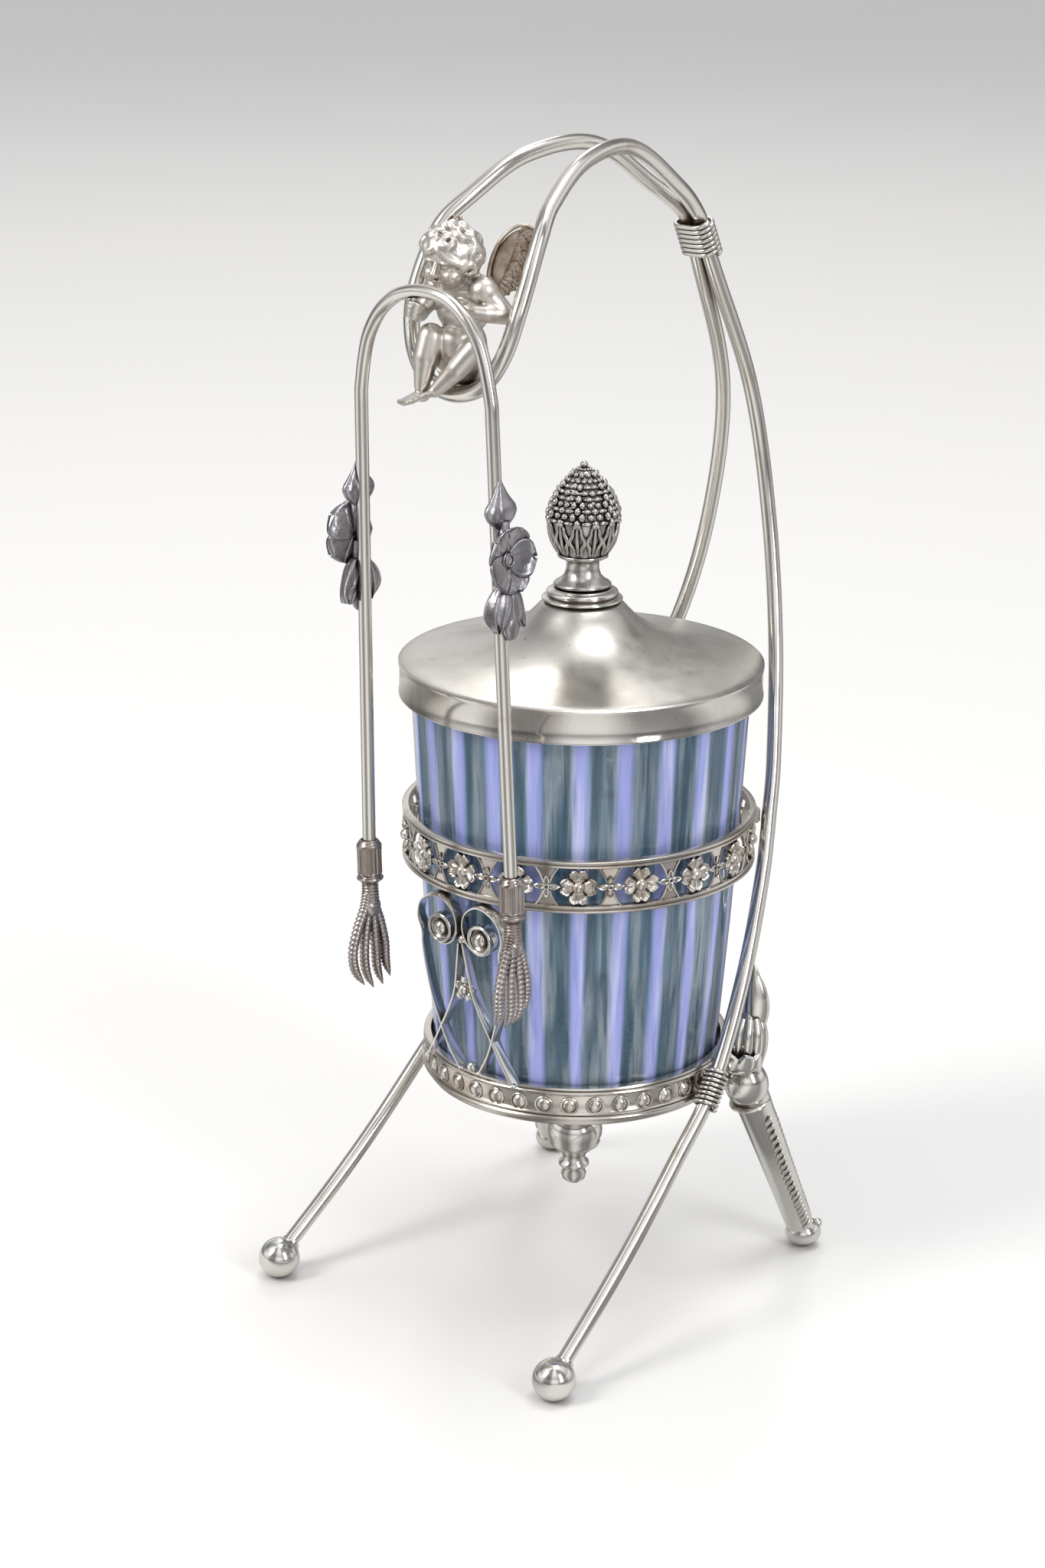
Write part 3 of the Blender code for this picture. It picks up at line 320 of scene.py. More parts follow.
class Nodes:
    """A short way to build the nodes of a new material or world."""

    def __init__(self, owner, coordinates="Object"):
        self.owner = owner
        owner.use_nodes = True
        self.tree = owner.node_tree
        self.shader = self.tree.nodes.get("Principled BSDF") or self.tree.nodes["Background"]
        self.coordinates = self.add("ShaderNodeTexCoord").outputs[coordinates]

    def add(self, kind, **settings):
        node = self.tree.nodes.new(kind)
        for key, value in settings.items():
            setattr(node, key, value)
        return node

    def put(self, value, socket):
        """Sets a number or a colour at the socket, or links a source to it."""
        if isinstance(value, (int, float)):
            socket.default_value = value
        elif isinstance(value, tuple):
            socket.default_value = (*value, 1.0)
        else:
            self.tree.links.new(value, socket)

    def shade(self, name, value):
        self.put(value, self.shader.inputs[name])

    def noise(self, scale, detail=3.0, roughness=0.55, stretch=None):
        node = self.add("ShaderNodeTexNoise")
        for key, value in (("Scale", scale), ("Detail", detail), ("Roughness", roughness)):
            node.inputs[key].default_value = value
        source = self.coordinates
        if stretch:
            mapping = self.add("ShaderNodeMapping")
            mapping.inputs["Scale"].default_value = stretch
            self.put(source, mapping.inputs["Vector"])
            source = mapping.outputs["Vector"]
        self.put(source, node.inputs["Vector"])
        return node.outputs["Fac"]

    def ramp(self, source, stops, tint, interpolation="LINEAR"):
        """The tint times a level that runs along the source; the stops are (place, level)."""
        node = self.add("ShaderNodeValToRGB")
        node.color_ramp.interpolation = interpolation
        elements = node.color_ramp.elements
        while len(elements) < len(stops):
            elements.new(0.5)
        for element, (place, level) in zip(elements, stops):
            element.position = place
            element.color = [share * level for share in tint] + [1.0]
        self.put(source, node.inputs["Fac"])
        return node.outputs["Color"]

    def steps(self, source, low, high, first=0.0, second=1.0):
        """The source, as a smooth step from first at low to second at high."""
        node = self.add("ShaderNodeMapRange", interpolation_type="SMOOTHSTEP")
        for key, value in (("From Min", low), ("From Max", high), ("To Min", first), ("To Max", second)):
            node.inputs[key].default_value = value
        self.put(source, node.inputs["Value"])
        return node.outputs["Result"]

    def math(self, operation, first, second=0.5):
        node = self.add("ShaderNodeMath", operation=operation)
        self.put(first, node.inputs[0])
        self.put(second, node.inputs[1])
        return node.outputs["Value"]

    def mix(self, share, first, second, blend="MIX"):
        node = self.add("ShaderNodeMix", data_type="RGBA", blend_type=blend)
        for number, value in ((0, share), (6, first), (7, second)):
            self.put(value, node.inputs[number])
        return node.outputs[2]

    def split(self):
        node = self.add("ShaderNodeSeparateXYZ")
        self.put(self.coordinates, node.inputs["Vector"])
        return node.outputs["X"], node.outputs["Y"], node.outputs["Z"]

    def turn_share(self):
        """The way round the upright axis, as a share of a full turn."""
        x, y = self.split()[:2]
        return self.math("ADD", self.math("MULTIPLY", self.math("ARCTAN2", y, x), 0.5 / math.pi), 0.5)

    def bump(self, height, strength, distance, before=None):
        node = self.add("ShaderNodeBump")
        node.inputs["Strength"].default_value = strength
        node.inputs["Distance"].default_value = distance
        self.put(height, node.inputs["Height"])
        if before is not None:
            self.put(before, node.inputs["Normal"])
        return node.outputs["Normal"]

    def crevice(self, distance):
        """One in the open and falling towards zero in hollows and creases; it masks painted shade."""
        node = self.add("ShaderNodeAmbientOcclusion", samples=8)
        node.inputs["Distance"].default_value = distance
        return node.outputs["AO"]


# Scales of noise are waves per metre; depths of hollows and bumps are metres

def silver(name, plate, tarnish, dark, rough, patches=(0.5, 0.75), crevice=0.0025, grain=0.0, cloud=70.0):
    """Aged silver plate: rubbed clean, tarnish in patches, painted shade with tarnish in hollows, hair
    scratches.
    """
    n = Nodes(bpy.data.materials.new(name))
    broad = n.noise(cloud, 4.0)
    fine = n.noise(900.0, 3.0)
    patch = n.steps(broad, *patches)
    speckle = n.steps(fine, 0.55, 0.80, 0.0, 0.25)
    share = n.math("MAXIMUM", n.math("MULTIPLY", patch, 0.70), n.math("MULTIPLY", speckle, patch))
    # Painted shade: the ambient occlusion darkens hollows and creases, along with the tarnish that gathers
    # there
    hollow = n.steps(n.crevice(crevice), 0.30, 0.92, 1.0, 0.0)
    n.shade("Base Color", n.mix(hollow, n.mix(share, plate, tarnish), dark))
    n.shade("Metallic", 1.0)
    roughness = n.steps(n.noise(110.0, 4.0), 0.3, 0.7, *rough)
    n.shade("Roughness", n.math("ADD", roughness, n.math("MULTIPLY", hollow, 0.25)))
    normal = n.bump(n.noise(1800.0, 2.0, stretch=(1.0, 0.25, 0.08)), 0.05, 0.00004)
    if grain:
        normal = n.bump(n.noise(1500.0, 4.0), grain, 0.00015, normal)
    n.shade("Normal", normal)
    return n.owner


def lid_metal():
    """Satin top with fine turning marks, a bright edge line, and a polished rim."""
    n = Nodes(bpy.data.materials.new("lid_satin_and_rim"))
    x, y, z = n.split()
    radius = n.math("SQRT", n.math("ADD", n.math("MULTIPLY", x, x), n.math("MULTIPLY", y, y)))
    top = n.steps(z, lid_edge - 0.4 * mm, lid_edge - 0.1 * mm)
    plate = n.mix(n.steps(n.noise(45.0, 4.0), 0.4, 0.7), (0.60, 0.585, 0.55), (0.53, 0.505, 0.455))
    cloud = n.steps(n.noise(60.0, 5.0, stretch=(1, 1, 0.4)), 0.5, 0.75)
    rim = n.mix(cloud, (0.68, 0.655, 0.62), (0.50, 0.43, 0.37))
    spots = n.steps(n.noise(420.0, 2.0), 0.68, 0.76, 0.0, 0.5)
    n.shade("Base Color", n.mix(spots, n.mix(top, rim, plate), (0.30, 0.24, 0.20)))
    n.shade("Metallic", 1.0)
    satin = n.steps(n.noise(200.0, 6.0), 0.25, 0.75, 0.27, 0.37)
    shine = n.steps(n.noise(160.0, 5.0), 0.3, 0.7, 0.09, 0.17)
    mixer = n.add("ShaderNodeMix", data_type="FLOAT")
    for number, source in ((0, top), (2, shine), (3, satin)):
        n.put(source, mixer.inputs[number])
    n.shade("Roughness", mixer.outputs[0])
    normal = n.bump(n.math("SINE", n.math("MULTIPLY", radius, 30000.0)), 0.05, 0.00002)
    normal = n.bump(n.noise(2500.0, 3.0, stretch=(1.0, 0.1, 1.0)), 0.12, 0.00005, normal)
    normal = n.bump(n.noise(2200.0, 3.0, stretch=(0.12, 1.0, 1.0)), 0.10, 0.00005, normal)
    n.shade("Normal", normal)
    return n.owner


def striped_glass():
    """Clear cool glass with streaky opalescent lavender-blue stripes; light streaks are painted highlights."""
    n = Nodes(bpy.data.materials.new("opalescent_striped_glass"))
    x, y = n.split()[:2]
    around = n.math("MULTIPLY", n.math("ARCTAN2", y, x), float(stripe_count))
    drift = n.math("MULTIPLY", n.math("SUBTRACT", n.noise(12.0, 2.0, stretch=(1, 1, 0.15)), 0.5), 0.5)
    wave = n.math("SINE", n.math("ADD", around, n.math("SUBTRACT", drift, stripe_turn)))
    streak = n.noise(300.0, 3.0, stretch=(1, 1, 0.02))
    hair = n.noise(620.0, 2.0, stretch=(1, 1, 0.015))
    uneven = n.math("MULTIPLY", n.math("SUBTRACT", n.noise(160.0, 2.0, stretch=(1, 1, 0.03)), 0.5), 1.4)
    stripe = n.steps(n.math("ADD", wave, uneven), -0.20, 1.00)
    pale = n.mix(n.steps(wave, 0.1, 0.95), (0.20, 0.30, 0.56), (0.37, 0.40, 0.78))
    # Painted highlights on the glass's own streaks; the thin dark hair lines below are painted shade, as at rib
    # edges
    pale = n.mix(n.steps(streak, 0.46, 0.70, 0.0, 0.75), pale, (0.66, 0.70, 0.92))
    pale = n.mix(n.steps(hair, 0.52, 0.66, 0.0, 0.5), pale, (0.22, 0.27, 0.55))
    # The clear glass likewise: streaks lightened as painted highlights, hair lines darkened as painted shade
    clear = n.mix(n.steps(streak, 0.38, 0.62), (0.19, 0.31, 0.40), (0.64, 0.75, 0.82))
    clear = n.mix(n.steps(hair, 0.50, 0.64, 0.0, 0.7), clear, (0.11, 0.20, 0.28))
    n.shade("Base Color", n.mix(stripe, clear, pale))
    n.shade("Transmission Weight", n.steps(stripe, 0.0, 1.0, 0.70, 0.12))
    n.shade("Roughness", n.steps(streak, 0.3, 0.8, 0.03, 0.09))
    n.shade("IOR", 1.36)
    n.shade("Normal", n.bump(n.noise(90.0, 2.0, stretch=(1, 1, 0.3)), 0.08, 0.0004))
    return n.owner


stripe_count = 24
stripe_turn = 2.7
# The third colour of each plate is its painted shade, with tarnish, in the hollows
bright = silver(
    "bright_plate", (0.76, 0.74, 0.70), (0.56, 0.48, 0.39), (0.17, 0.13, 0.10), (0.11, 0.20), (0.58, 0.8),
)
wire = silver(
    "worn_wire", (0.75, 0.72, 0.68), (0.54, 0.42, 0.30), (0.20, 0.15, 0.11), (0.13, 0.22), (0.60, 0.80),
)
tarnished = silver(
    "tarnished_plate", (0.72, 0.68, 0.63), (0.52, 0.43, 0.34), (0.11, 0.085, 0.07), (0.15, 0.27),
    (0.50, 0.72), crevice=0.0016,
)
pewter = silver(
    "dull_pewter", (0.42, 0.405, 0.43), (0.29, 0.27, 0.28), (0.06, 0.05, 0.05), (0.20, 0.36),
    (0.4, 0.65), crevice=0.0018, grain=0.5, cloud=240.0,
)
cone_metal = silver(
    "dark_cast_cone", (0.55, 0.53, 0.51), (0.36, 0.33, 0.30), (0.022, 0.02, 0.02), (0.16, 0.30),
    (0.45, 0.7), crevice=0.0017, grain=0.08,
)
cherub_metal = silver(
    "cherub_plate", (0.70, 0.66, 0.62), (0.52, 0.43, 0.34), (0.16, 0.115, 0.085), (0.33, 0.43),
    (0.52, 0.76), crevice=0.0013, grain=0.04, cloud=160.0,
)
wing_metal = silver(
    "wing_plate", (0.56, 0.48, 0.40), (0.34, 0.22, 0.14), (0.10, 0.06, 0.04), (0.24, 0.38),
    (0.38, 0.62), crevice=0.0012, grain=0.15, cloud=330.0,
)
claw_metal = silver(
    "dark_claw", (0.46, 0.42, 0.41), (0.32, 0.26, 0.22), (0.035, 0.028, 0.025), (0.22, 0.36),
    (0.4, 0.65), crevice=0.0009, grain=0.12,
)
steel = silver("plain_steel", (0.42, 0.42, 0.43), (0.33, 0.31, 0.29), (0.10, 0.09, 0.085), (0.30, 0.42))
lid_skin = lid_metal()
glass = striped_glass()


# Camera, light and floor

# Bright and dark panels round the object, by the share of a full turn
strip_stops = (
    (0.0, 0.45), (0.05, 0.38), (0.10, 1.15), (0.17, 1.20), (0.22, 0.40), (0.29, 0.34), (0.35, 1.25),
    (0.40, 1.25), (0.46, 0.42), (0.55, 0.36), (0.61, 1.10), (0.68, 1.15), (0.73, 0.40), (0.82, 0.36),
    (0.88, 1.05), (0.93, 1.0), (1.0, 0.45),
)


def add_object(name, data):
    made = bpy.data.objects.new(name, data)
    bpy.context.scene.collection.objects.link(made)
    return made


def make_camera():
    """The photograph's view, solved from the rings of the lid, the band and the tray."""
    camera = bpy.data.cameras.new("camera")
    camera.lens = 69.37
    camera.sensor_width = 36.0
    camera.clip_start = 0.01
    camera.clip_end = 50.0
    view = add_object("camera", camera)
    bpy.context.scene.camera = view
    yaw, pitch, roll = -0.7144, 0.3251, 0.0088
    ahead = Vector((math.sin(yaw) * math.cos(pitch), math.cos(yaw) * math.cos(pitch), -math.sin(pitch)))
    right = Vector((math.cos(yaw), -math.sin(yaw), 0))
    up = right.cross(ahead)
    rolled_right = right * math.cos(roll) + up * math.sin(roll)
    rolled_up = up * math.cos(roll) - right * math.sin(roll)
    turn = Matrix((rolled_right, rolled_up, -ahead)).transposed()
    view.matrix_world = Matrix.Translation((0.46217, -0.55483, 0.37351)) @ turn.to_4x4()


def make_floor():
    """A pale floor. In the metal it shows as panels; through the glass it is a little darker."""
    floor_mesh = bpy.data.meshes.new("floor")
    reach = 12.0
    corners = [(-reach, -reach, 0), (reach, -reach, 0), (reach, reach, 0), (-reach, reach, 0)]
    floor_mesh.from_pydata(corners, [], [(0, 1, 2, 3)])
    floor = add_object("floor", floor_mesh)
    n = Nodes(bpy.data.materials.new("pale_floor"))
    rays = n.add("ShaderNodeLightPath")
    pale = n.mix(n.noise(3.0, 3.0), (0.80, 0.80, 0.79), (0.84, 0.83, 0.82))
    panels = n.ramp(n.turn_share(), strip_stops, (0.60, 0.60, 0.59))
    pale = n.mix(rays.outputs["Is Glossy Ray"], pale, panels)
    n.shade("Base Color", n.mix(rays.outputs["Is Transmission Ray"], pale, (0.50, 0.53, 0.56)))
    n.shade("Roughness", 0.7)
    n.shade("Specular IOR Level", 0.3)
    floor_mesh.materials.append(n.owner)


def make_world():
    """A soft grey room, with its own levels for reflections, for the glass and behind the object."""
    world = bpy.data.worlds.new("studio")
    bpy.context.scene.world = world
    n = Nodes(world, "Generated")
    rays = n.add("ShaderNodeLightPath")
    z = n.split()[2]

    def room(*stops):
        return n.ramp(z, stops, (1, 1, 1.01))

    panels = n.ramp(n.turn_share(), strip_stops, (1, 1, 1), "EASE")
    reflected = room((0.0, 0.45), (0.10, 0.70), (0.30, 1.10), (0.52, 0.60), (0.75, 1.0), (1.0, 1.2))
    reflected = n.mix(1.0, reflected, panels, "MULTIPLY")
    seen = n.mix(rays.outputs["Is Glossy Ray"], room((0.0, 0.62), (1.0, 0.80)), reflected)
    seen = n.mix(rays.outputs["Is Transmission Ray"], seen, room((0.0, 0.45), (0.4, 0.60), (1.0, 0.70)))
    seen = n.mix(rays.outputs["Is Camera Ray"], seen, room((0.0, 0.80), (1.0, 0.72)))
    n.shade("Color", seen)
    n.shade("Strength", 0.85)


def make_lamps():
    target = Vector((0, 0, 0.14))
    for name, place, wide, tall, power, colour in (
        ("key", (-0.55, -1.35, 1.30), 0.50, 1.0, 16.0, (1.0, 0.985, 0.96)),
        ("fill", (1.75, -0.25, 1.00), 0.40, 1.3, 12.0, (0.97, 0.98, 1.0)),
        ("top", (0.15, 0.35, 2.1), 0.8, 0.8, 11.0, (1.0, 1.0, 1.0)),
        ("back", (-1.3, 1.4, 2.0), 0.5, 0.9, 9.0, (1.0, 0.98, 0.95)),
    ):
        lamp = bpy.data.lights.new(name, "AREA")
        lamp.shape = "RECTANGLE"
        lamp.size = wide
        lamp.size_y = tall
        lamp.energy = power
        lamp.color = colour
        holder = add_object(name, lamp)
        holder.location = place
        holder.rotation_euler = (target - Vector(place)).to_track_quat("-Z", "Y").to_euler()
    bpy.context.scene.view_settings.view_transform = "Standard"


# Jar

def make_jar():
    """A thick tapered jar, ribbed inside and a little outside, with a fire-polished mouth."""
    outer_table = (
        (0.0, jar_foot - 3.0 * mm), (0.010, jar_foot - 1.2 * mm), (0.03, jar_foot),
        (0.36, between(jar_foot, jar_mouth, 0.42)), (0.75, between(jar_foot, jar_mouth, 0.80)),
        (0.985, jar_mouth), (1.0, jar_mouth - 0.8 * mm),
    )
    rows = 44
    floor = jar_seat + 4.5 * mm
    corner = 3.0 * mm
    outside = []
    inside = []
    for i in range(rows + 1):
        share = i / rows
        outside.append((interpolate(outer_table, share) - 0.1 * mm, jar_seat + jar_height * share))
        height = between(jar_top - 0.4 * mm, floor, share)
        outer = interpolate(outer_table, (height - jar_seat) / jar_height)
        pull = corner * (1 - min(1, (height - floor) / corner)) ** 2
        edge = 0.8 * mm * max(0, 1 - (jar_top - height) / (1.2 * mm))
        inside.append((outer - jar_wall - pull + edge, height))
    profile = [(0, jar_seat)] + outside + inside + [(0, floor)]

    def ribs(radius, height, angle):
        if radius < jar_foot * 0.75:
            return 0.0
        fade = min(1.0, (jar_top - height) / (4 * mm), (height - jar_seat) / (4 * mm) + 0.15)
        wave = math.cos(angle * stripe_count - math.pi / 2 - stripe_turn)
        outer = interpolate(outer_table, (height - jar_seat) / jar_height) - 1.1 * mm
        if radius > outer:
            return 0.22 * mm * (wave - 1) * max(fade, 0)
        return 0.55 * mm * wave * max(fade, 0)

    steps = stripe_count * 10
    turned("jar_of_striped_glass", profile, steps, glass, "jar", "glass_jar", 0, ribs)


# Lid, collar and finial

def make_lid():
    neck = 10.0 * mm
    rise = lid_top - lid_edge
    # The trumpet: radius in lid radii and height in rises, read down the outside
    flare_shares = (
        (0.221, 1.0), (0.235, 0.93), (0.262, 0.84), (0.30, 0.72), (0.345, 0.61), (0.40, 0.50),
        (0.47, 0.385), (0.55, 0.285), (0.64, 0.20), (0.74, 0.13), (0.85, 0.07), (0.94, 0.028),
    )
    outside = [(stud_bore, lid_top), (neck - 0.6 * mm, lid_top)]
    outside += [(lid_radius * out, lid_edge + rise * up) for out, up in flare_shares[1:]]
    # The bright edge line, then the rim down to its lower edge
    edge_steps = ((1.1, 0.2), (0.5, 0), (0, -0.4), (0, -1.1), (0.25, -1.4))
    outside += [(lid_radius - inward * mm, lid_edge + up * mm) for inward, up in edge_steps]
    rim_steps = ((0.2, 0.8), (0, 0.5), (0, 0.05))
    outside += [(lid_radius - inward * mm, rim_bottom + up * mm) for inward, up in rim_steps]
    inner = lid_radius - lid_wall
    inside = [(inner, rim_bottom), (inner, lid_edge - 2.6 * mm), (inner - 0.8 * mm, lid_edge - lid_wall)]
    for out, up in flare_shares[::-3]:
        inside.append((lid_radius * out - 0.6 * mm, lid_edge - lid_wall + (rise - 0.3 * mm) * up))
    inside[-1] = (neck - 1.2 * mm, lid_top - lid_wall)
    inside.append((stud_bore, lid_top - lid_wall))
    turned("lid_dome_and_rim", outside + inside, 160, lid_skin, "lid", "lid_cap", 50)

    low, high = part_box("lid_collar")
    height = high.z - low.z
    collar_shares = (
        (0.985, 0.0), (1.0, 0.10), (0.985, 0.20), (0.90, 0.28), (0.84, 0.36), (0.87, 0.44),
        (0.89, 0.60), (0.87, 0.74), (0.82, 0.84), (0.76, 0.90),
    )
    collar = [(stud_bore, low.z)] + [(high.x * out, low.z + height * up) for out, up in collar_shares]
    collar += [(7.4 * mm, high.z), (stud_bore, high.z)]
    collar = rounded(collar, 0.25, 2, closed=True)
    turned("stepped_collar", collar, 96, bright, "lid", "lid_collar", 60)
    make_pinecone()


def make_pinecone():
    """An ovoid bud set with staggered round scales above a ring of upright leaves, on a waisted stem."""
    low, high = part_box("finial_pinecone")
    bottom = low.z + 8.0 * mm
    height = high.z - bottom
    widest = 8.9 * mm
    outline = (
        (0.0, 0.66), (0.07, 0.78), (0.15, 0.875), (0.25, 0.945), (0.36, 0.985), (0.45, 0.985), (0.54, 0.93),
        (0.65, 0.81), (0.75, 0.66), (0.84, 0.49), (0.91, 0.32), (0.96, 0.19), (0.985, 0.10),
    )

    def body(share):
        return widest * interpolate(outline, share)

    # The stem's radius and height above its foot, in mm
    stem = (
        (0, 0.1), (7.0, 0.1), (7.2, 0.6), (6.8, 1.0), (5.6, 1.7), (4.6, 2.8), (4.1, 4.4), (4.1, 6.0),
        (4.5, 6.8), (5.8, 7.2), (6.3, 7.5), (6.3, 8.1), (5.9, 8.3),
    )
    profile = [(out * mm, low.z + up * mm) for out, up in stem]
    for i in range(27):
        share = 0.01 + 0.97 * i / 26
        profile.append((body(share) - 0.4 * mm, bottom + height * share))
    profile += [(0.3 * mm, high.z - 0.6 * mm), (0.0, high.z - 0.4 * mm)]
    bm = bmesh.new()
    lathe(bm, profile, 64)
    rows = 10
    for row in range(rows):
        share = 0.42 + 0.53 * (row / (rows - 1)) ** 0.95
        radius = body(share)
        around = 24 if share < 0.66 else 18 if share < 0.84 else 12
        size = min(0.98 * mm, math.pi * radius / around * 0.90)
        ahead = body(min(share + 0.03, 1.0)) - body(max(share - 0.03, 0))
        slope = math.atan2(-ahead, height * 0.06)
        for i in range(around):
            angle = full_turn * (i + 0.5 * (row % 2)) / around
            # Six upright ribs of larger beads, with long curved scales beside them
            off = abs((angle / (math.pi / 3) + 0.5) % 1 - 0.5)
            place = polar(radius - 0.3 * mm, angle, bottom + height * share)
            out = polar(math.cos(slope), angle, math.sin(slope))
            scale = (0.85, 1, 0.95)
            if off < 0.13:
                place += out * 0.2 * mm
                scale = (1.15, 0.9, 1.1)
            elif off < 0.36 and share < 0.80:
                scale = (0.62, 1.45, 0.95)
            ellipsoid(bm, place, [size * s for s in scale], aim(out), 12, 8)
    sweep(bm, [Vector((0, 0, high.z - down * mm)) for down in (2.0, 0.6)], 0.8 * mm, 14)
    ellipsoid(bm, Vector((0, 0, high.z - 0.1 * mm)), (1.0 * mm, 1.0 * mm, 0.9 * mm), None, 14, 10)
    leaves = 12
    for i in range(leaves):
        angle = full_turn * i / leaves
        for way in (-1, 0, 1):
            keys = []
            for j in range(13):
                t = j / 12
                share = between(0.03, 0.40 - 0.01 * abs(way), t)
                bow = 0.155 * math.sin(math.pi * min(1, t * 1.02)) ** 1.3
                lean = way * (0.05 + bow + 0.03 * math.sin(5 * math.pi * t))
                keys.append(polar(body(share) - 0.1 * mm, angle + lean, bottom + height * share))
            wide = (0.50 if way else 0.46) * mm
            sweep(bm, keys, wide, 8, taper=lambda s: 0.55 + 0.6 * math.sin(math.pi * min(1, s * 0.9 + 0.08)))
            ball(bm, keys[-1] + polar(0.2 * mm, angle, 0), 0.6 * mm, 8, 6)
    piece("pinecone_finial", bm, cone_metal, "lid", ["finial_pinecone"], sharp=0)


# Tray ring, plate, dome and drop

def make_tray():
    inner = ring_radius - 1.3 * mm
    # Mouldings of the ring: mm out of its radius with mm below its top, then with shares of its height
    upper = (
        (0, 0.1), (0.4, 0.2), (0.55, 0.6), (0.35, 0.9), (0.1, 1.1), (0.5, 1.3), (0.65, 1.7), (0.4, 2.1),
        (0, 2.4),
    )
    lower = (
        (0, 0.62), (0.3, 0.655), (0.6, 0.68), (0.4, 0.715), (0.15, 0.73), (0.6, 0.755), (0.8, 0.79),
        (0.5, 0.825), (0.1, 0.86), (-0.2, 0.93),
    )
    profile = [(ring_radius + out * mm, ring_top - down * mm) for out, down in upper]
    profile += [(ring_radius + out * mm, ring_top - ring_height * down) for out, down in lower]
    profile += [(ring_radius - 0.5 * mm, ring_bottom + 0.2 * mm), (ring_radius - 0.9 * mm, ring_bottom)]
    shelf = 0.0552
    ledge = inner - 2.4 * mm
    profile += [(ledge, ring_bottom), (ledge, shelf), (inner, shelf), (inner, ring_top - 0.1 * mm)]
    bm = bmesh.new()
    lathe(bm, profile, 200)
    # A round boss in a thin ring: radius and height in mm
    boss_steps = (
        (0, 0.95), (0.5, 0.92), (1.0, 0.78), (1.45, 0.50), (1.65, 0.22), (1.75, 0.18), (1.90, 0.40),
        (2.12, 0.44), (2.30, 0.30), (2.36, -0.3), (0, -0.3),
    )
    middle = ring_bottom + ring_height * 0.54 - 0.15 * mm
    for i in range(boss_count):
        angle = full_turn * (i + 0.5) / boss_count
        boss = bmesh.new()
        lathe(boss, [(out * mm, up * mm) for out, up in boss_steps], 18)
        place_on(boss, polar(ring_radius - 0.1 * mm, angle, middle), aim(polar(1, angle, 0)))
        add_bmesh(bm, boss)
    piece("moulded_tray_ring", bm, tarnished, "frame", ["tray_ring"], sharp=45)

    low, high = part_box("tray_plate")
    profile = [(stud_bore, low.z), (high.x, low.z), (high.x, high.z), (stud_bore, high.z)]
    turned("jar_plate", rounded(profile, 0.12, 2, True), 96, bright, "frame", "tray_plate")

    # The dome and the drop: radius as a share of the widest, and the way down as a share of the height
    low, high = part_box("under_dome")
    dome_shares = (
        (1, 0), (1, 0.06), (0.975, 0.10), (0.95, 0.17), (0.86, 0.30), (0.70, 0.43), (0.50, 0.55),
        (0.34, 0.68), (0.30, 0.78), (0.36, 0.88), (0.33, 1),
    )
    profile = [(high.x * out, between(high.z, low.z, down)) for out, down in dome_shares]
    profile = [(stud_bore, high.z)] + profile + [(stud_bore, low.z)]
    turned("dome_under_tray", profile, 72, bright, "frame", "under_dome", 50)

    low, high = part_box("pendant_drop")
    wide = 7.4 * mm
    drop_shares = (
        (0.0, 0.0), (0.24, 0.0), (0.40, 0.0), (0.46, 0.02), (0.42, 0.05), (0.55, 0.08), (0.78, 0.12),
        (0.94, 0.20), (1.0, 0.29), (0.985, 0.36), (0.90, 0.42), (0.92, 0.45), (0.86, 0.485), (0.66, 0.54),
        (0.46, 0.60), (0.40, 0.65), (0.42, 0.69), (0.54, 0.72), (0.545, 0.75), (0.43, 0.785), (0.40, 0.82),
        (0.45, 0.87), (0.40, 0.93), (0.24, 0.975), (0.0, 1.0),
    )
    profile = [(wide * out, between(high.z, low.z, down)) for out, down in drop_shares]
    turned("turned_pendant", profile, 64, bright, "frame", "pendant_drop", 55)


# Pierced band

def wrap(bm, angle, radius, height):
    """Bends a flat ornament, drawn with x along, y up and z out, round a ring."""
    for vertex in bm.verts:
        along, up, out = vertex.co
        vertex.co = polar(radius + out, angle + along / radius, height + up)


def daisy(size, depth):
    """A flower of four scalloped, veined petals round a ball."""
    bm = bmesh.new()
    around = 160
    petals = 4
    ball_end = 0.30
    petal_start = 0.34
    shares = [0.0, 0.10, 0.22, ball_end, petal_start, 0.40, 0.50, 0.60, 0.70, 0.80, 0.88, 0.94, 0.98, 1.0]
    rings = []
    for share in shares:
        ring = []
        for j in range(around):
            angle = full_turn * j / around
            lobe = abs(math.cos(angle * petals / 2))
            reach = size * (0.50 + 0.47 * lobe**0.42)
            scallop = abs(math.cos(angle * 10))
            edge = max(0.0, (share - 0.6) / 0.4)
            notch = max(0.0, math.cos(angle * petals)) ** 7
            reach *= 1 + (0.035 * (scallop**0.7 - 0.4) * min(1, lobe * 3) - 0.16 * notch) * edge
            out = reach * share if share > petal_start else size * share
            if share <= ball_end:
                lift = depth * 1.75 * math.sqrt(max(0.0, 1 - (share / 0.31) ** 2)) + depth * 0.25
            else:
                t = (share - petal_start) / (1 - petal_start)
                cup = 0.30 + 0.45 * t**1.5
                vein = 0.10 * math.cos(angle * 40) * math.sin(math.pi * min(1, t))
                fold = 0.75 * (1 - lobe) ** 2
                rim = 0.55 * max(0.0, 1 - abs(share - 0.92) / 0.07)
                lift = depth * (cup + vein - fold + rim - 0.35 * notch * min(1, t * 2))
            ring.append(bm.verts.new((out * math.sin(angle), out * math.cos(angle), max(lift, -depth * 0.4))))
            if share == 0.0:
                break
        rings.append(ring)
    back = [bm.verts.new((v.co.x, v.co.y, -depth * 0.75)) for v in rings[-1]]
    for j in range(around):
        k = (j + 1) % around
        bm.faces.new((rings[0][0], rings[1][j], rings[1][k]))
        bm.faces.new((rings[-1][j], back[j], back[k], rings[-1][k]))
    for first, second in zip(rings[1:], rings[2:]):
        for j in range(around):
            k = (j + 1) % around
            bm.faces.new((first[j], second[j], second[k], first[k]))
    bm.faces.new(back)
    return bm


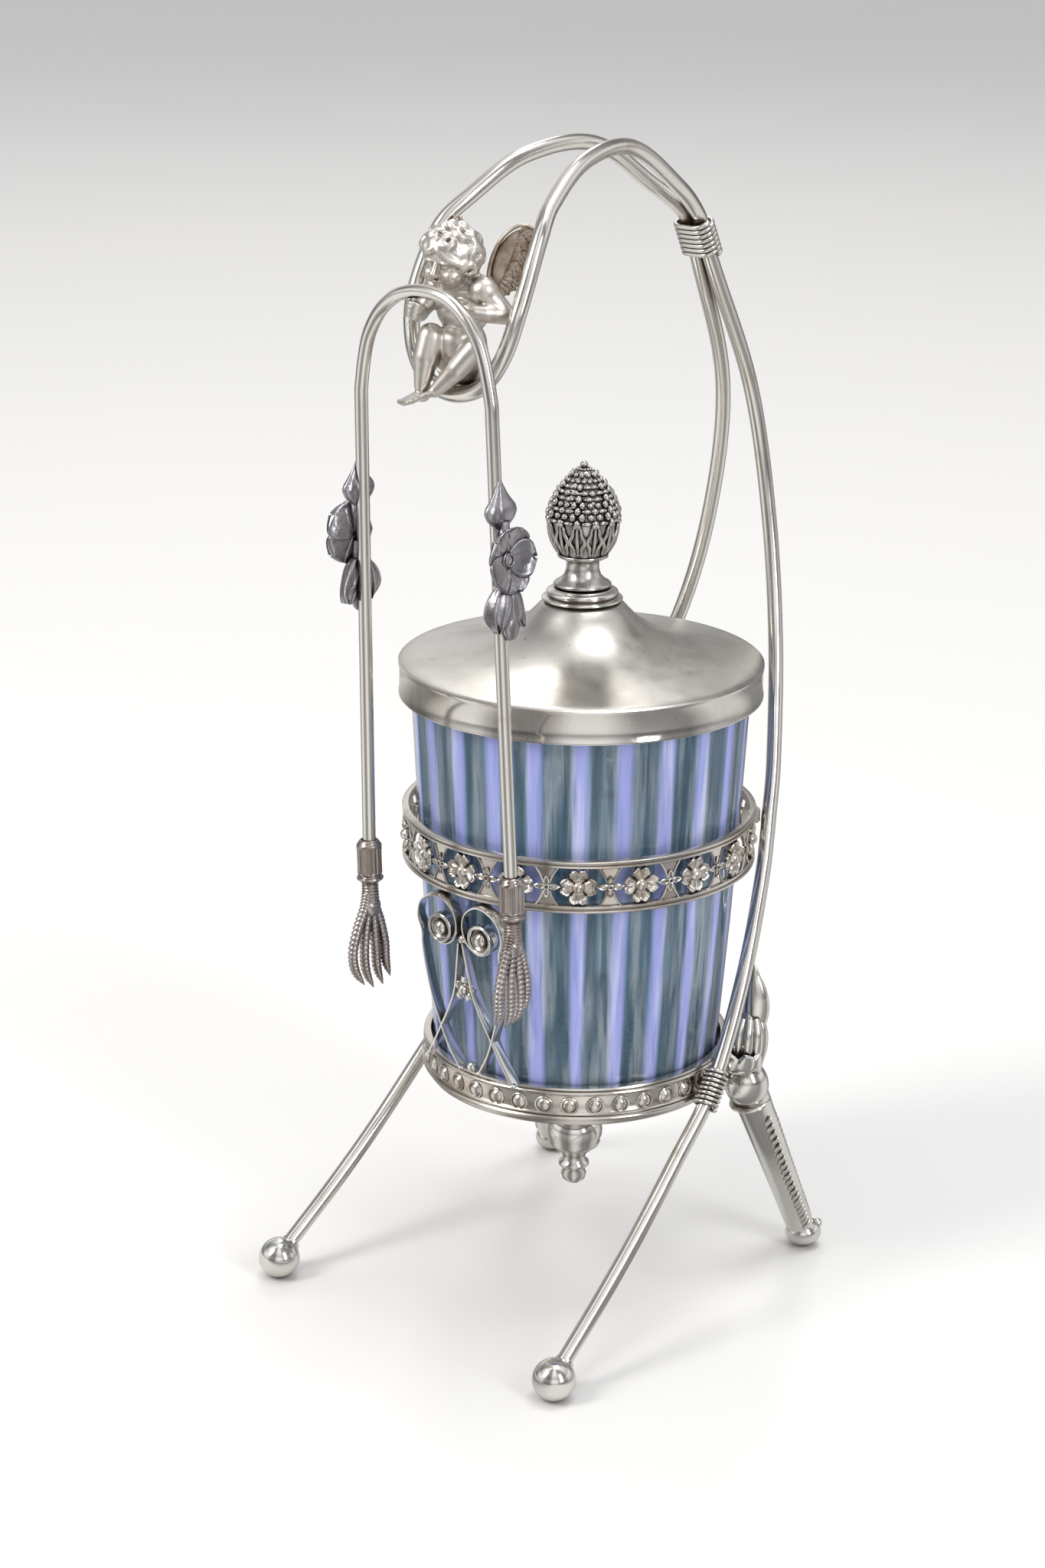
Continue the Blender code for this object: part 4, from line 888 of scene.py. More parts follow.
def tie(half_step, half_height, depth):
    """Between two daisies: a waisted plate above and below with raised edges, and a small eyed flower."""
    bm = bmesh.new()
    for way in (-1, 1):
        count = 12
        left = []
        for i in range(count + 1):
            t = i / count
            left.append((-half_step * (0.105 + 0.255 * t**1.45), way * half_height * between(0.20, 1.03, t)))
        right = [(-x, y) for x, y in left]
        front = [bm.verts.new((x, y, depth * 0.05)) for x, y in left + right[::-1]]
        rear = [bm.verts.new((x, y, -depth * 0.75)) for x, y in left + right[::-1]]
        bm.faces.new(front)
        bm.faces.new(rear[::-1])
        grid_faces(bm, [front, rear])
        for line in (left, right):
            sweep(bm, [Vector((x, y, depth * 0.15)) for x, y in line], 0.00027, 8)
    for i in range(4):
        angle = math.pi / 2 * i
        way = Vector((math.cos(angle), math.sin(angle), 0))
        side = Vector((-way.y, way.x, 0))
        reach = 0.0026 if i % 2 else 0.0030
        rim = []
        for j in range(13):
            t = j / 12
            wide = 0.00072 * math.sin(math.pi * t) ** 0.8 * (1 - 0.35 * t)
            rim.append((way * between(0.0004, reach, t), side * wide))
        outline = [a + b for a, b in rim] + [a - b for a, b in rim[-2:0:-1]]
        lifted = [p + Vector((0, 0, depth * 0.45)) for p in outline]
        sweep(bm, lifted + [lifted[0]], 0.00021, 6)
        face = [bm.verts.new(p + Vector((0, 0, depth * 0.38))) for p in outline]
        low = [bm.verts.new(p - Vector((0, 0, depth * 0.5))) for p in outline]
        bm.faces.new(face)
        bm.faces.new(low[::-1])
        grid_faces(bm, [face, low])
    eye = circle(Vector((0, 0, depth * 0.75)), Vector((0.6 * mm, 0, 0)), Vector((0, 0.6 * mm, 0)), 14)
    sweep(bm, eye, 0.00024, 8)
    for way in (-1, 1):
        sweep(bm, [Vector((way * x, 0, depth * 0.1)) for x in (0.0028, half_step * 0.44)], 0.00030, 6)
    return bm


def make_band():
    bm = bmesh.new()
    inner = band_radius - band_wall
    # The moulding along both edges: mm out of the band's radius with mm in from its edge
    moulding = (
        (0.3, 0.05), (0.7, 0.35), (0.65, 0.7), (0.2, 1.0), (0.2, 1.2), (0.6, 1.5), (0.55, 1.9), (0.1, 2.2),
    )
    for edge, way in ((band_bottom, mm), (band_bottom + band_width, -mm)):
        profile = [(band_radius + out * mm, edge + way * inward) for out, inward in moulding]
        lathe(bm, [(inner, edge)] + profile + [(inner, edge + way * moulding[-1][1])], 216)
    half_step = math.pi * band_radius / band_repeats
    half_height = band_width / 2 - 2.0 * mm
    for i in range(band_repeats):
        angle = full_turn * i / band_repeats - math.pi / 2
        flower = daisy(0.0047, 0.00075)
        wrap(flower, angle, band_radius, band_middle)
        add_bmesh(bm, flower)
        link = tie(half_step, half_height, 0.0008)
        wrap(link, angle + math.pi / band_repeats, band_radius, band_middle)
        add_bmesh(bm, link)
    piece("pierced_daisy_band", bm, tarnished, "frame", ["gallery_band"], sharp=40)


# Rods, hoop, bindings, balls and lugs

# Places along the rods and the hoop, as the part works them out
foot_half_spread = 0.0470
foot_reach = 0.0626
ball_radius = 0.00534
leg_sag = 0.0026
binding_reach = rod_radius + 0.0005 + 0.00042
ring_rod_reach = ring_radius + ring_bead + 0.0006 + fit_gap + binding_reach + 0.00042
band_rod_reach = band_radius + band_rim + fit_gap + 0.0030 + fit_gap + rod_radius
rear_reach = 0.0643
coil_lean = math.radians(26.3)
coil_axis = Vector((0, -math.sin(coil_lean), math.cos(coil_lean)))
coil_centre = Vector((0, 0.0427, 0.2632))
coil_wire = 0.00060
coil_pitch = 2 * coil_wire + 0.00046
coil_turns = 6
coil_reach = coil_axis * (coil_turns * coil_pitch / 2 + coil_pitch)
twin_offset = rod_radius + 0.00015
twin_side = Vector((twin_offset, 0, 0))
hoop_half_width = 0.0162
hoop_reach = 0.0475
hoop_top = 0.2885
hoop_bottom = 0.2366
ring_middle = ring_bottom + ring_height / 2


def rod_keys():
    """The right rod, from its ball foot past the ring and the band into the top binding."""
    ball_centre = Vector((foot_half_spread, -foot_reach, ball_radius - 0.15 * mm))
    ring_angle, band_angle, back_angle = math.radians(1.7), math.radians(53.8), math.radians(90)
    ring_place = polar(ring_rod_reach, ring_angle, ring_middle)
    start = ball_centre + (ring_place - ball_centre).normalized() * (ball_radius - 0.3 * mm)
    keys = [start]
    for share in (0.25, 0.5, 0.75):
        keys.append(start.lerp(ring_place, share) + Vector((0, 0, -leg_sag * math.sin(math.pi * share))))
    to_band = (
        (ring_rod_reach, band_rod_reach), (ring_angle, band_angle), (ring_middle, band_middle),
        ((0, 0, 0), (0.11, 0.386, 0.416), (0.516, 0.79, 0.765), (1, 1, 1)),
    )
    to_back = (
        (band_rod_reach, rear_reach), (band_angle, back_angle), (band_middle, coil_centre.z),
        ((0.25, 0.215, 0.078), (0.796, 0.577, 0.275), (1.0, 0.768, 0.496), (0.74, 0.884, 0.729)),
    )
    for reaches, angles, heights, shares in (to_band, to_back):
        for out, around, up in shares:
            keys.append(polar(between(*reaches, out), between(*angles, around), between(*heights, up)))
    keys.append(coil_centre + twin_side - coil_reach)
    keys.append(coil_centre + twin_side)
    return keys


def hoop_keys():
    """The right half of the handle, out of the top binding, over and down to the cherub's seat."""
    keys = [coil_centre + twin_side, coil_centre + twin_side + coil_reach]
    for out, reach, up in (
        (0.27, 0.61, 0.78), (0.36, 0.181, 0.996), (0.56, -0.265, 0.971), (0.77, -0.592, 0.809),
        (0.944, -0.743, 0.684), (1.0, -0.905, 0.399), (0.86, -0.966, 0.193), (0.52, -0.992, 0.05),
    ):
        keys.append(Vector((hoop_half_width * out, hoop_reach * reach, between(hoop_bottom, hoop_top, up))))
    return keys


def flip(points):
    return [Vector((-p.x, p.y, p.z)) for p in points]


def wound(centre, axis, side, twin, radius, turns, pitch, points_per_turn=40):
    """A coil round one or two rods; twin is half the space between two rods."""
    across = axis.cross(side)
    path = []
    for i in range(turns * points_per_turn + 1):
        angle = full_turn * i / points_per_turn
        along = (i / points_per_turn - turns / 2) * pitch
        swing = math.cos(angle)
        out = radius * swing + math.copysign(twin, swing) * min(1, abs(swing) * 4)
        path.append(centre + axis * along + side * out + across * (radius * math.sin(angle)))
    return path


def make_wire_frame():
    right = smooth_path(rod_keys(), 8)
    for name, path in (("left", flip(right)), ("right", right)):
        drawn_wire("stand_rod_" + name, path, rod_radius, 20, "frame_rod_" + name)
    keys = hoop_keys()
    path = smooth_path(keys + [Vector((0, -hoop_reach, hoop_bottom))] + flip(keys)[::-1], 8)
    drawn_wire("looped_handle", path, rod_radius, 20, "handle_hoop")

    keys = rod_keys()
    axis = (keys[5] - keys[3]).normalized()
    side = axis.cross(upward).normalized()
    ring = wound(keys[4], axis, side, 0, binding_reach - 0.1 * mm, 8, 1.2 * mm)
    for name, path in (("left", flip(ring)), ("right", ring)):
        drawn_wire("wire_binding_" + name, path, 0.5 * mm, 10, "ring_binding_" + name, 0)
    coil_radius = rod_radius + 0.3 * mm + coil_wire
    pitch = 2 * coil_wire + 0.12 * mm
    top = wound(coil_centre, coil_axis, Vector((1, 0, 0)), twin_offset, coil_radius, 7, pitch)
    drawn_wire("wire_binding_top", top, coil_wire, 12, "top_binding", 0)

    for name, way in (("left", -1), ("right", 1)):
        # A ball with a small flat below, and a neck towards its rod
        centre = Vector((way * foot_half_spread, -foot_reach, ball_radius - 0.15 * mm))
        bm = bmesh.new()
        angles = [math.pi * (i + 0.5) / 28 - math.pi / 2 for i in range(28)]
        profile = [(ball_radius * math.cos(a), centre.z + ball_radius * math.sin(a)) for a in angles]
        profile = [(0, 0)] + [p for p in profile if p[1] > 0.02 * mm] + [(0, centre.z + ball_radius)]
        lathe(bm, profile, 48, centre=Vector((centre.x, centre.y, 0)))
        along = (keys[1] - keys[0]).normalized()
        along.x *= way
        neck = centre + along * (ball_radius - 0.3 * mm)
        sweep(bm, [neck - along * 0.5 * mm, neck + along * 0.4 * mm], 2.4 * mm, 20)
        piece("foot_ball_" + name, bm, bright, "frame", ["ball_foot_" + name], sharp=50)

        low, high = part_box("band_lug_" + name)
        place = (low + high) / 2
        turn = Matrix.Rotation(math.atan2(place.y, place.x), 3, "Z")
        bm = bmesh.new()
        bmesh.ops.create_cube(bm, size=1, matrix=Matrix.Diagonal((3.4 * mm, 2.4 * mm, 4.2 * mm, 1)))
        place_on(bm, place, turn)
        bmesh.ops.bevel(bm, geom=bm.edges[:], offset=0.5 * mm, segments=3, affect="EDGES")
        piece("solder_lug_" + name, bm, tarnished, "frame", ["band_lug_" + name])


# Rear legs

def make_rear_legs():
    """Cast legs: smooth in front with a roped ridge down the side, a swollen knee, a folded leaf above."""
    shaft = 4.1 * mm
    foot_height = 4.6 * mm
    knee_reach = ring_radius + ring_bead + fit_gap + 5.6 * mm
    knee = polar(knee_reach, math.radians(25.0), ring_middle - ring_height * 0.35)
    foot_place = Vector((0.0440, 0.0432, foot_height * 0.85))
    bend = foot_place.lerp(knee, 0.25) + Vector((-1.1 * mm, 1.1 * mm, 0))
    path = smooth_path([foot_place, bend, foot_place.lerp(knee, 0.6), knee], 70)
    rear = Vector((0.55, 0.83, 0)).normalized()
    rings = 21

    def trunk(share, angle):
        # The smooth face looks forward; behind it the casting is stepped in and finely ringed
        behind = max(0.0, math.cos(angle)) ** 0.5
        wave = abs(math.sin(math.pi * rings * 1.6 * share))
        fade = min(1.0, max(0.0, (share - 0.07) / 0.05), max(0.0, (0.82 - share) / 0.05))
        return 1 - behind * 0.10 + behind * fade * 0.05 * wave

    taper_table = (
        (0.0, 0.95), (0.07, 0.93), (0.15, 0.97), (0.35, 1.0), (0.6, 1.06), (0.78, 1.14), (0.88, 1.20),
        (1.0, 1.22),
    )
    bm = bmesh.new()
    sweep(bm, path, shaft, 32, trunk, up=rear, taper=lambda s: interpolate(taper_table, s))
    for way in (-1, 1):
        # Slanting beads down each edge of the smooth face
        for i in range(rings):
            share = between(0.10, 0.82, i / (rings - 1))
            at = round(share * (len(path) - 1))
            along = (path[min(at + 2, len(path) - 1)] - path[at]).normalized()
            side = rear.cross(along).normalized() * way
            behind = along.cross(side).normalized() * way
            out = shaft * interpolate(taper_table, share)
            place = path[at] + side * out + behind * (out * 0.22)
            turn = aim(along * 0.62 + behind * 0.75, side)
            ellipsoid(bm, place, (0.78 * mm, 0.66 * mm, 1.65 * mm), turn, 14)
    ellipsoid(bm, foot_place, (4.7 * mm, 4.9 * mm, foot_height * 0.84), None, 30, 20)
    ball(bm, foot_place + rear * 4.0 * mm + upward * 1.8 * mm, 1.3 * mm)
    lean = (knee - foot_place).normalized().lerp(upward, 0.4)
    for lift, wide, tall in ((-7.2, 5.4, 1.1), (-1.5, 5.7, 6.6), (5.2, 5.0, 2.2)):
        ellipsoid(bm, knee + lean * lift * mm, (wide * mm, wide * mm, tall * mm), aim(lean), 36, 20)
    for i in range(7):
        # A folded collar on top of the knee
        out = polar(1, full_turn * i / 7 + 0.2, 0)
        root = knee + lean * 3.0 * mm + out * 4.4 * mm
        tip = knee + lean * 8.2 * mm + out * 5.0 * mm + upward * 1.2 * mm
        blade(bm, root, tip, out, 2.6 * mm, 1.2 * mm, 0, widest=0.55, cup=-0.25, point=1.3)
    root = knee + upward * 2.6 * mm
    tip = polar(knee_reach + 0.6 * mm, math.radians(27.5), root.z + 29.0 * mm)
    outward = polar(1, math.radians(26), 0)
    across = Vector((-outward.y, outward.x, 0))

    def flute_taper(share):
        return 0.75 + 0.45 * math.sin(math.pi * min(1, share * 0.95))

    def curl_taper(share):
        swelling = 0.55 + 0.45 * math.sin(math.pi * min(1, share * 1.3))
        return swelling * math.cos(math.pi / 2 * share**2.2) + 0.04

    for i in range(9):
        # Upright flutes round the lower part of the leaf
        angle = full_turn * i / 9
        out = outward * math.cos(angle) + across * math.sin(angle)
        flute = ((0.05, 3.0), (0.20, 3.6), (0.36, 3.5), (0.50, 2.4))
        keys = [root.lerp(tip, t) + out * wide * mm for t, wide in flute]
        sweep(bm, smooth_path(keys, 7), 1.3 * mm, 12, taper=flute_taper)
    core = smooth_path([root, root.lerp(tip, 0.35), root.lerp(tip, 0.6)], 8)
    sweep(bm, core, 3.1 * mm, 22, taper=lambda s: 1.05 * math.cos(math.pi / 2 * s**1.8) + 0.05)
    curl = []
    for t, out, aside in ((0.30, 1.0, 0), (0.55, 1.4, 0.6), (0.80, 0.9, 0.4), (1, 0, 0)):
        curl.append(root.lerp(tip, t) + outward * out * mm + across * aside * mm)
    sweep(bm, smooth_path(curl, 10), 3.4 * mm, 24, up=outward, flat=0.62, taper=curl_taper)
    mesh = bpy.data.meshes.new("leg")
    bmesh.ops.recalc_face_normals(bm, faces=bm.faces)
    bm.to_mesh(mesh)
    bm.free()
    other = mesh.copy()
    other.transform(mirrored)
    other.flip_normals()
    piece_from_mesh("cast_leg_right", mesh, bright, "frame", ["rear_leg_right"], 50)
    piece_from_mesh("cast_leg_left", other, bright, "frame", ["rear_leg_left"], 50)


def blade(bm, root, tip, out, half_width, thickness, ribs, widest=0.42, cup=0.0, point=1.0):
    """A leaf or feather: a thin cupped blade with ribs along it, from root to tip."""
    way = (tip - root).normalized()
    across = way.cross(out).normalized()
    normal = across.cross(way)
    rows = 28
    columns = 18
    faces = []
    for side in (1, -1):
        rings = []
        for i in range(rows + 1):
            t = i / rows
            if t < widest:
                wide = math.sin(math.pi / 2 * (0.25 + 0.75 * t / widest))
            else:
                wide = math.cos(math.pi / 2 * ((t - widest) / (1 - widest)) ** (1.2 * point))
            wide = max(wide, 0.04) * half_width
            row = []
            for j in range(columns + 1):
                u = j / columns * 2 - 1
                thick = thickness * (1 - abs(u) ** 3) * (0.4 + 0.6 * math.sin(math.pi * (0.1 + 0.85 * t)))
                wave = 0.22 * thickness * math.cos(math.pi * ribs * u + 2.2 * t) if ribs else 0
                lift = side * (thick / 2 + wave * (1 - abs(u) ** 2)) + cup * half_width * u * u
                place = root + way * ((tip - root).length * t) + across * (wide * u) + normal * lift
                row.append(bm.verts.new(place))
            rings.append(row)
        grid_faces(bm, rings, closed_round=False)
        faces.append(rings)
    join_edges(bm, faces)


# Scroll work in front of the jar

def box_section(share, angle):
    """A section with flat sides and small round corners."""
    return 1 / (abs(math.cos(angle)) ** 6 + abs(math.sin(angle)) ** 6) ** (1 / 6)


def make_scroll():
    width = 3.0 * mm
    thick = 0.8 * mm
    low = ring_top + fit_gap + thick / 2
    high = band_bottom - fit_gap - thick / 2
    half_width = 15.0 * mm
    out_share = 0.434
    reach_low = ring_radius + ring_bead + width * (0.5 - ring_bead / rod_radius)
    reach_high = band_radius + band_rim + fit_gap + width * (0.5 - 2 * fit_gap / band_rim)

    def reach(z):
        return between(reach_low, reach_high, (z - low) / (high - low))

    def strap_path(points):
        path = smooth_path([Vector((x, 0, z)) for x, z in points], 7)
        return [Vector((p.x, -reach(p.z), p.z)) for p in path]

    curl_shares = (
        (1.11, 0.44), (0.92, 0.50), (0.72, 0.565), (0.5, 0.58), (0.3, 0.50), (0.1, 0.39), (-0.15, 0.31),
        (-0.45, 0.27), (-0.78, 0.25), (-1.1, 0.24), (-1.4, 0.23), (-1.7, 0.222), (-2.0, 0.215),
    )
    centre = (-half_width * out_share, high - half_width * 0.58)
    curl = []
    for turn, size in curl_shares:
        across = centre[0] + half_width * size * math.cos(math.pi * turn)
        curl.append((across, centre[1] + half_width * size * math.sin(math.pi * turn)))
    outer_shares = ((-0.20, 0.0), (-0.42, 0.12), (-0.56, 0.23), (-0.72, 0.39), (-0.81, 0.54), (-0.86, 0.68))
    outer = [(half_width * out, between(low, high, up)) for out, up in outer_shares] + curl
    inner_shares = (
        (-0.96, 0.0), (-0.72, 0.13), (-0.52, 0.25), (-0.34, 0.36), (-0.20, 0.47), (-0.12, 0.60),
        (-0.04, 0.76),
    )
    inner = [(half_width * out, between(low, high, up)) for out, up in inner_shares]
    # A ring boss in each upper curl: radius and height in mm
    boss_steps = (
        (0.0, -1.0), (1.2, -1.0), (2.2, -0.85), (2.9, -0.4), (3.3, 0.0), (3.45, 0.0), (3.45, -2.2),
        (0.0, -2.2),
    )
    turn = aim(to_front)
    flat = thick / width * 0.8
    bm = bmesh.new()
    for way in (-1, 1):
        for line in (outer, inner):
            strap = strap_path([(x * -way, z) for x, z in line])
            sweep(bm, strap, width / 2, 20, box_section, up=Vector((0, 1, 0)), flat=flat)
        place = Vector((centre[0] * -way, -reach(centre[1]) - width / 2, centre[1]))
        boss = bmesh.new()
        lathe(boss, rounded([(out * mm, up * mm) for out, up in boss_steps], 0.25, 2), 40)
        ellipsoid(boss, upward * -0.6 * mm, (1.95 * mm, 1.95 * mm, 1.7 * mm), None, 28, 18)
        place_on(boss, place, turn)
        add_bmesh(bm, boss)
        bead = circle(place - to_front * 0.1 * mm, Vector((3.4 * mm, 0, 0)), upward * 3.4 * mm, 36)
        sweep(bm, bead, 0.45 * mm, 10)
        for line in (outer, inner):
            lower_end = strap_path([(x * -way, z) for x, z in line])[0] + Vector((0, -0.8 * mm, 0.3 * mm))
            ellipsoid(bm, lower_end, (0.9 * mm, 1.0 * mm, 0.6 * mm), None, 12, 8)
    height = between(low, high, 0.775)
    ellipsoid(bm, Vector((0, -reach(height), height)), (1.4 * mm, 1.5 * mm, 1.4 * mm), None, 18, 12)
    height = between(low, high, 0.49)
    rosette = Vector((0, -reach(height) - width * 0.32, height))
    for i in range(5):
        angle = math.pi / 2 + full_turn * i / 5
        out = Vector((math.cos(angle), 0, math.sin(angle)))
        petal_turn = aim(to_front - out * 0.35, out)
        ellipsoid(bm, rosette + out * 1.9 * mm, (1.35 * mm, 1.15 * mm, 0.42 * mm), petal_turn, 16, 10)
        for side in (-1, 1):
            place = rosette + out * 2.8 * mm + Vector((-out.z, 0, out.x)) * side * 0.6 * mm
            ellipsoid(bm, place, (0.5 * mm, 0.5 * mm, 0.35 * mm), petal_turn, 10, 6)
    ellipsoid(bm, rosette, (1.5 * mm, 0.6 * mm, 1.5 * mm), None, 18, 8)
    ellipsoid(bm, rosette + to_front * 0.6 * mm, (1.3 * mm, 1.1 * mm, 1.3 * mm), None, 20, 14)
    sweep(bm, [rosette + Vector((x * mm, 0.8 * mm, 0)) for x in (-3.4, 0, 3.4)], 0.4 * mm, 8)
    piece("scroll_straps", bm, bright, "frame", ["front_scroll"], sharp=45)

    low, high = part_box("scroll_stud")
    radius = (high.x - low.x) / 2
    stud_shares = (
        (0.0, -1), (0.5, -1), (0.55, -0.4), (0.95, -0.1), (1, 0.1), (0.85, 0.55), (0.5, 0.85), (0.0, 0.95),
    )
    bm = bmesh.new()
    lathe(bm, rounded([(radius * out, radius * up) for out, up in stud_shares], 0.3, 3), 28)
    place_on(bm, (low + high) / 2, turn)
    piece("scroll_stud_ball", bm, bright, "frame", ["scroll_stud"], sharp=0)


# Cherub

cherub_height = 0.0410
cherub_seat = Vector((0, -hoop_reach + rod_radius, hoop_bottom + rod_radius * 0.5))
tongs_top = cherub_seat.z + cherub_height * 0.478 + cherub_height * 0.058 + tong_wire + 0.0003
tong_drop = 0.0578


def body_place(share):
    return cherub_seat + Vector(share) * cherub_height


def fist(bm, centre, radius, grip, knuckles):
    """A closed hand: fingers stacked along the grip and bent round it, with a thumb over them."""
    grip = grip.normalized()
    knuckles = (knuckles - grip * knuckles.dot(grip)).normalized()
    across = grip.cross(knuckles)
    ball(bm, centre, radius * 0.84, 20)
    for i in range(4):
        height = (i - 1.5) * radius * 0.44
        reach = radius * (0.80 - 0.03 * abs(i - 1.5))
        path = []
        for j in range(11):
            angle = -1.35 + 0.27 * j
            bent = knuckles * math.cos(angle) + across * math.sin(angle)
            path.append(centre + grip * height + bent * reach)
        sweep(bm, path, radius * 0.215, 10)
        ball(bm, path[-1], radius * 0.2, 10)
        ball(bm, path[3], radius * 0.245, 10)
    thumb = []
    for j in range(7):
        t = j / 6
        angle = 2.2 - 1.5 * t
        bent = knuckles * math.cos(angle) + across * math.sin(angle)
        thumb.append(centre + grip * (radius * between(0.25, 0.72, t)) + bent * (radius * 0.86))
    sweep(bm, thumb, radius * 0.24, 10)
    ball(bm, thumb[-1], radius * 0.23, 10)


def foot(bm, heel, toe, radius, sole):
    """A small bare foot from heel to toes; sole points down out of it."""
    way = (toe - heel).normalized()
    side = way.cross(sole).normalized()
    turn = Matrix((side, sole.normalized(), way)).transposed()
    size = (radius * 0.95, radius * 0.62, (toe - heel).length * 0.60)
    ellipsoid(bm, heel.lerp(toe, 0.5), size, turn, 20, 14)
    ball(bm, heel, radius * 0.82)
    ellipsoid(bm, heel.lerp(toe, 0.85), (radius * 1.12, radius * 0.52, radius * 0.8), turn, 18, 12)
    for i in range(5):
        across = (i - 2) * radius * 0.46
        ahead = radius * (0.55 - 0.05 * abs(i - 1.2) ** 1.4)
        size = radius * (0.34 if i == 0 else 0.26)
        ball(bm, toe + side * across + way * ahead * 0.45, size, 10)


def cherub_head(bm, centre, h, face_way, crown):
    """A round child's head on plain proportions: brow, lidded eyes, short nose, small mouth, short curls."""
    f = face_way.normalized()
    u = (crown - f * crown.dot(f)).normalized()
    r = f.cross(u)
    turn = Matrix((r, f, u)).transposed()

    def at(right, forward, up):
        return centre + r * (right * h) + f * (forward * h) + u * (up * h)

    def blobs(*places_and_sizes):
        for place, size in places_and_sizes:
            ellipsoid(bm, at(*place), [s * h for s in size], turn, 20, 14)

    # Skull and jaw
    blobs(((0, -0.16, 0.20), (0.80, 0.80, 0.80)), ((0, 0.14, -0.34), (0.68, 0.60, 0.56)))
    for way in (-1, 1):
        # Cheek, brow, eye, upper and lower lid, nostril, ear
        blobs(
            ((way * 0.36, 0.37, -0.36), (0.34, 0.37, 0.32)),
            ((way * 0.27, 0.56, 0.16), (0.27, 0.18, 0.065)),
            ((way * 0.27, 0.53, -0.04), (0.15, 0.14, 0.10)),
            ((way * 0.27, 0.57, 0.03), (0.17, 0.13, 0.030)),
            ((way * 0.27, 0.56, -0.13), (0.15, 0.11, 0.025)),
            ((way * 0.085, 0.82, -0.275), (0.08, 0.08, 0.065)),
            ((way * 0.72, 0.02, -0.10), (0.08, 0.14, 0.19)),
        )
    # Forehead and chin, then the nose, its tip, and the lips
    blobs(((0, 0.38, 0.34), (0.60, 0.34, 0.36)), ((0, 0.60, -0.74), (0.22, 0.20, 0.18)))
    nose = [at(0, 0.67, 0.14), at(0, 0.78, -0.08), at(0, 0.90, -0.23)]
    sweep(bm, nose, 0.095 * h, 12, taper=lambda s: 0.75 + 0.45 * s)
    blobs(
        ((0, 0.90, -0.245), (0.105, 0.10, 0.09)), ((0, 0.745, -0.455), (0.18, 0.085, 0.05)),
        ((0, 0.73, -0.575), (0.14, 0.085, 0.055)),
    )

    # Hair: a close cap, then soft waves all over it but for the face, each a flat coil
    blobs(((0, -0.19, 0.22), (0.93, 0.84, 0.84)))
    draw = random.Random(5)
    golden_angle = 2.39996
    curls = 34
    for i in range(curls):
        up = 1 - 2 * (i + 0.5) / curls
        angle = i * golden_angle
        ring = math.sqrt(1 - up * up)
        right, ahead = ring * math.sin(angle), ring * math.cos(angle)
        if ahead > 0.36 and up < 0.42 or up < -0.70 or (ahead > 0.30 and up < -0.10):
            continue
        normal = r * right + f * ahead + u * up
        place = at(0.86 * right, -0.15 + 0.84 * ahead, 0.18 + 0.82 * up)
        side = normal.cross(u if abs(up) < 0.9 else f).normalized()
        other = normal.cross(side)
        hand = draw.choice((-1, 1))
        start = draw.uniform(0, full_turn)
        coil = []
        for j in range(23):
            t = j / 22
            size = h * between(0.31, 0.08, t)
            angle = start + hand * (full_turn * 1.1 * t)
            lift = h * (0.02 + 0.05 * math.sin(math.pi * t) + 0.06 * t - 0.12 * (1 - t) ** 3)
            flat_place = side * (size * math.cos(angle)) + other * (size * math.sin(angle))
            coil.append(place + flat_place + normal * lift)
        sweep(bm, coil, 0.125 * h, 10, taper=lambda s: 0.65 + 0.5 * math.sin(math.pi * (0.15 + 0.7 * s)))
    # Two locks swept from the parting across the brow
    for way in (-1, 1):
        for strand in range(3):
            keys = []
            for j in range(13):
                t = j / 12
                across = way * (0.05 + 0.74 * t)
                lift = 0.80 - 0.60 * t**1.5 - 0.11 * strand + 0.05 * math.sin(5 * t + strand)
                ahead = 0.58 - 0.46 * t**2 + 0.07 * strand
                keys.append(at(across, ahead, lift))
            sweep(bm, keys, 0.10 * h, 10, taper=lambda s: 0.6 + 0.6 * math.sin(math.pi * (0.1 + 0.8 * s)))


def remeshed(name, bm, voxel, smooth, keep=None):
    """One skin round overlapping lumps. keep(point) gives the share of smoothing that a point gets."""
    bmesh.ops.recalc_face_normals(bm, faces=bm.faces)
    mesh = bpy.data.meshes.new(name)
    bm.to_mesh(mesh)
    bm.free()
    lumps = bpy.data.objects.new(name + "_lumps", mesh)
    bpy.context.scene.collection.objects.link(lumps)
    remesh = lumps.modifiers.new("skin", "REMESH")
    remesh.mode = "VOXEL"
    remesh.voxel_size = voxel
    skin = bpy.data.meshes.new_from_object(lumps.evaluated_get(bpy.context.evaluated_depsgraph_get()))
    bpy.data.objects.remove(lumps)
    bm = bmesh.new()
    bm.from_mesh(skin)
    for i in range(smooth):
        chosen = [v for v in bm.verts if keep is None or keep(v.co) > i / smooth]
        bmesh.ops.smooth_vert(bm, verts=chosen, factor=0.5, use_axis_x=True, use_axis_y=True, use_axis_z=True)
    return bm


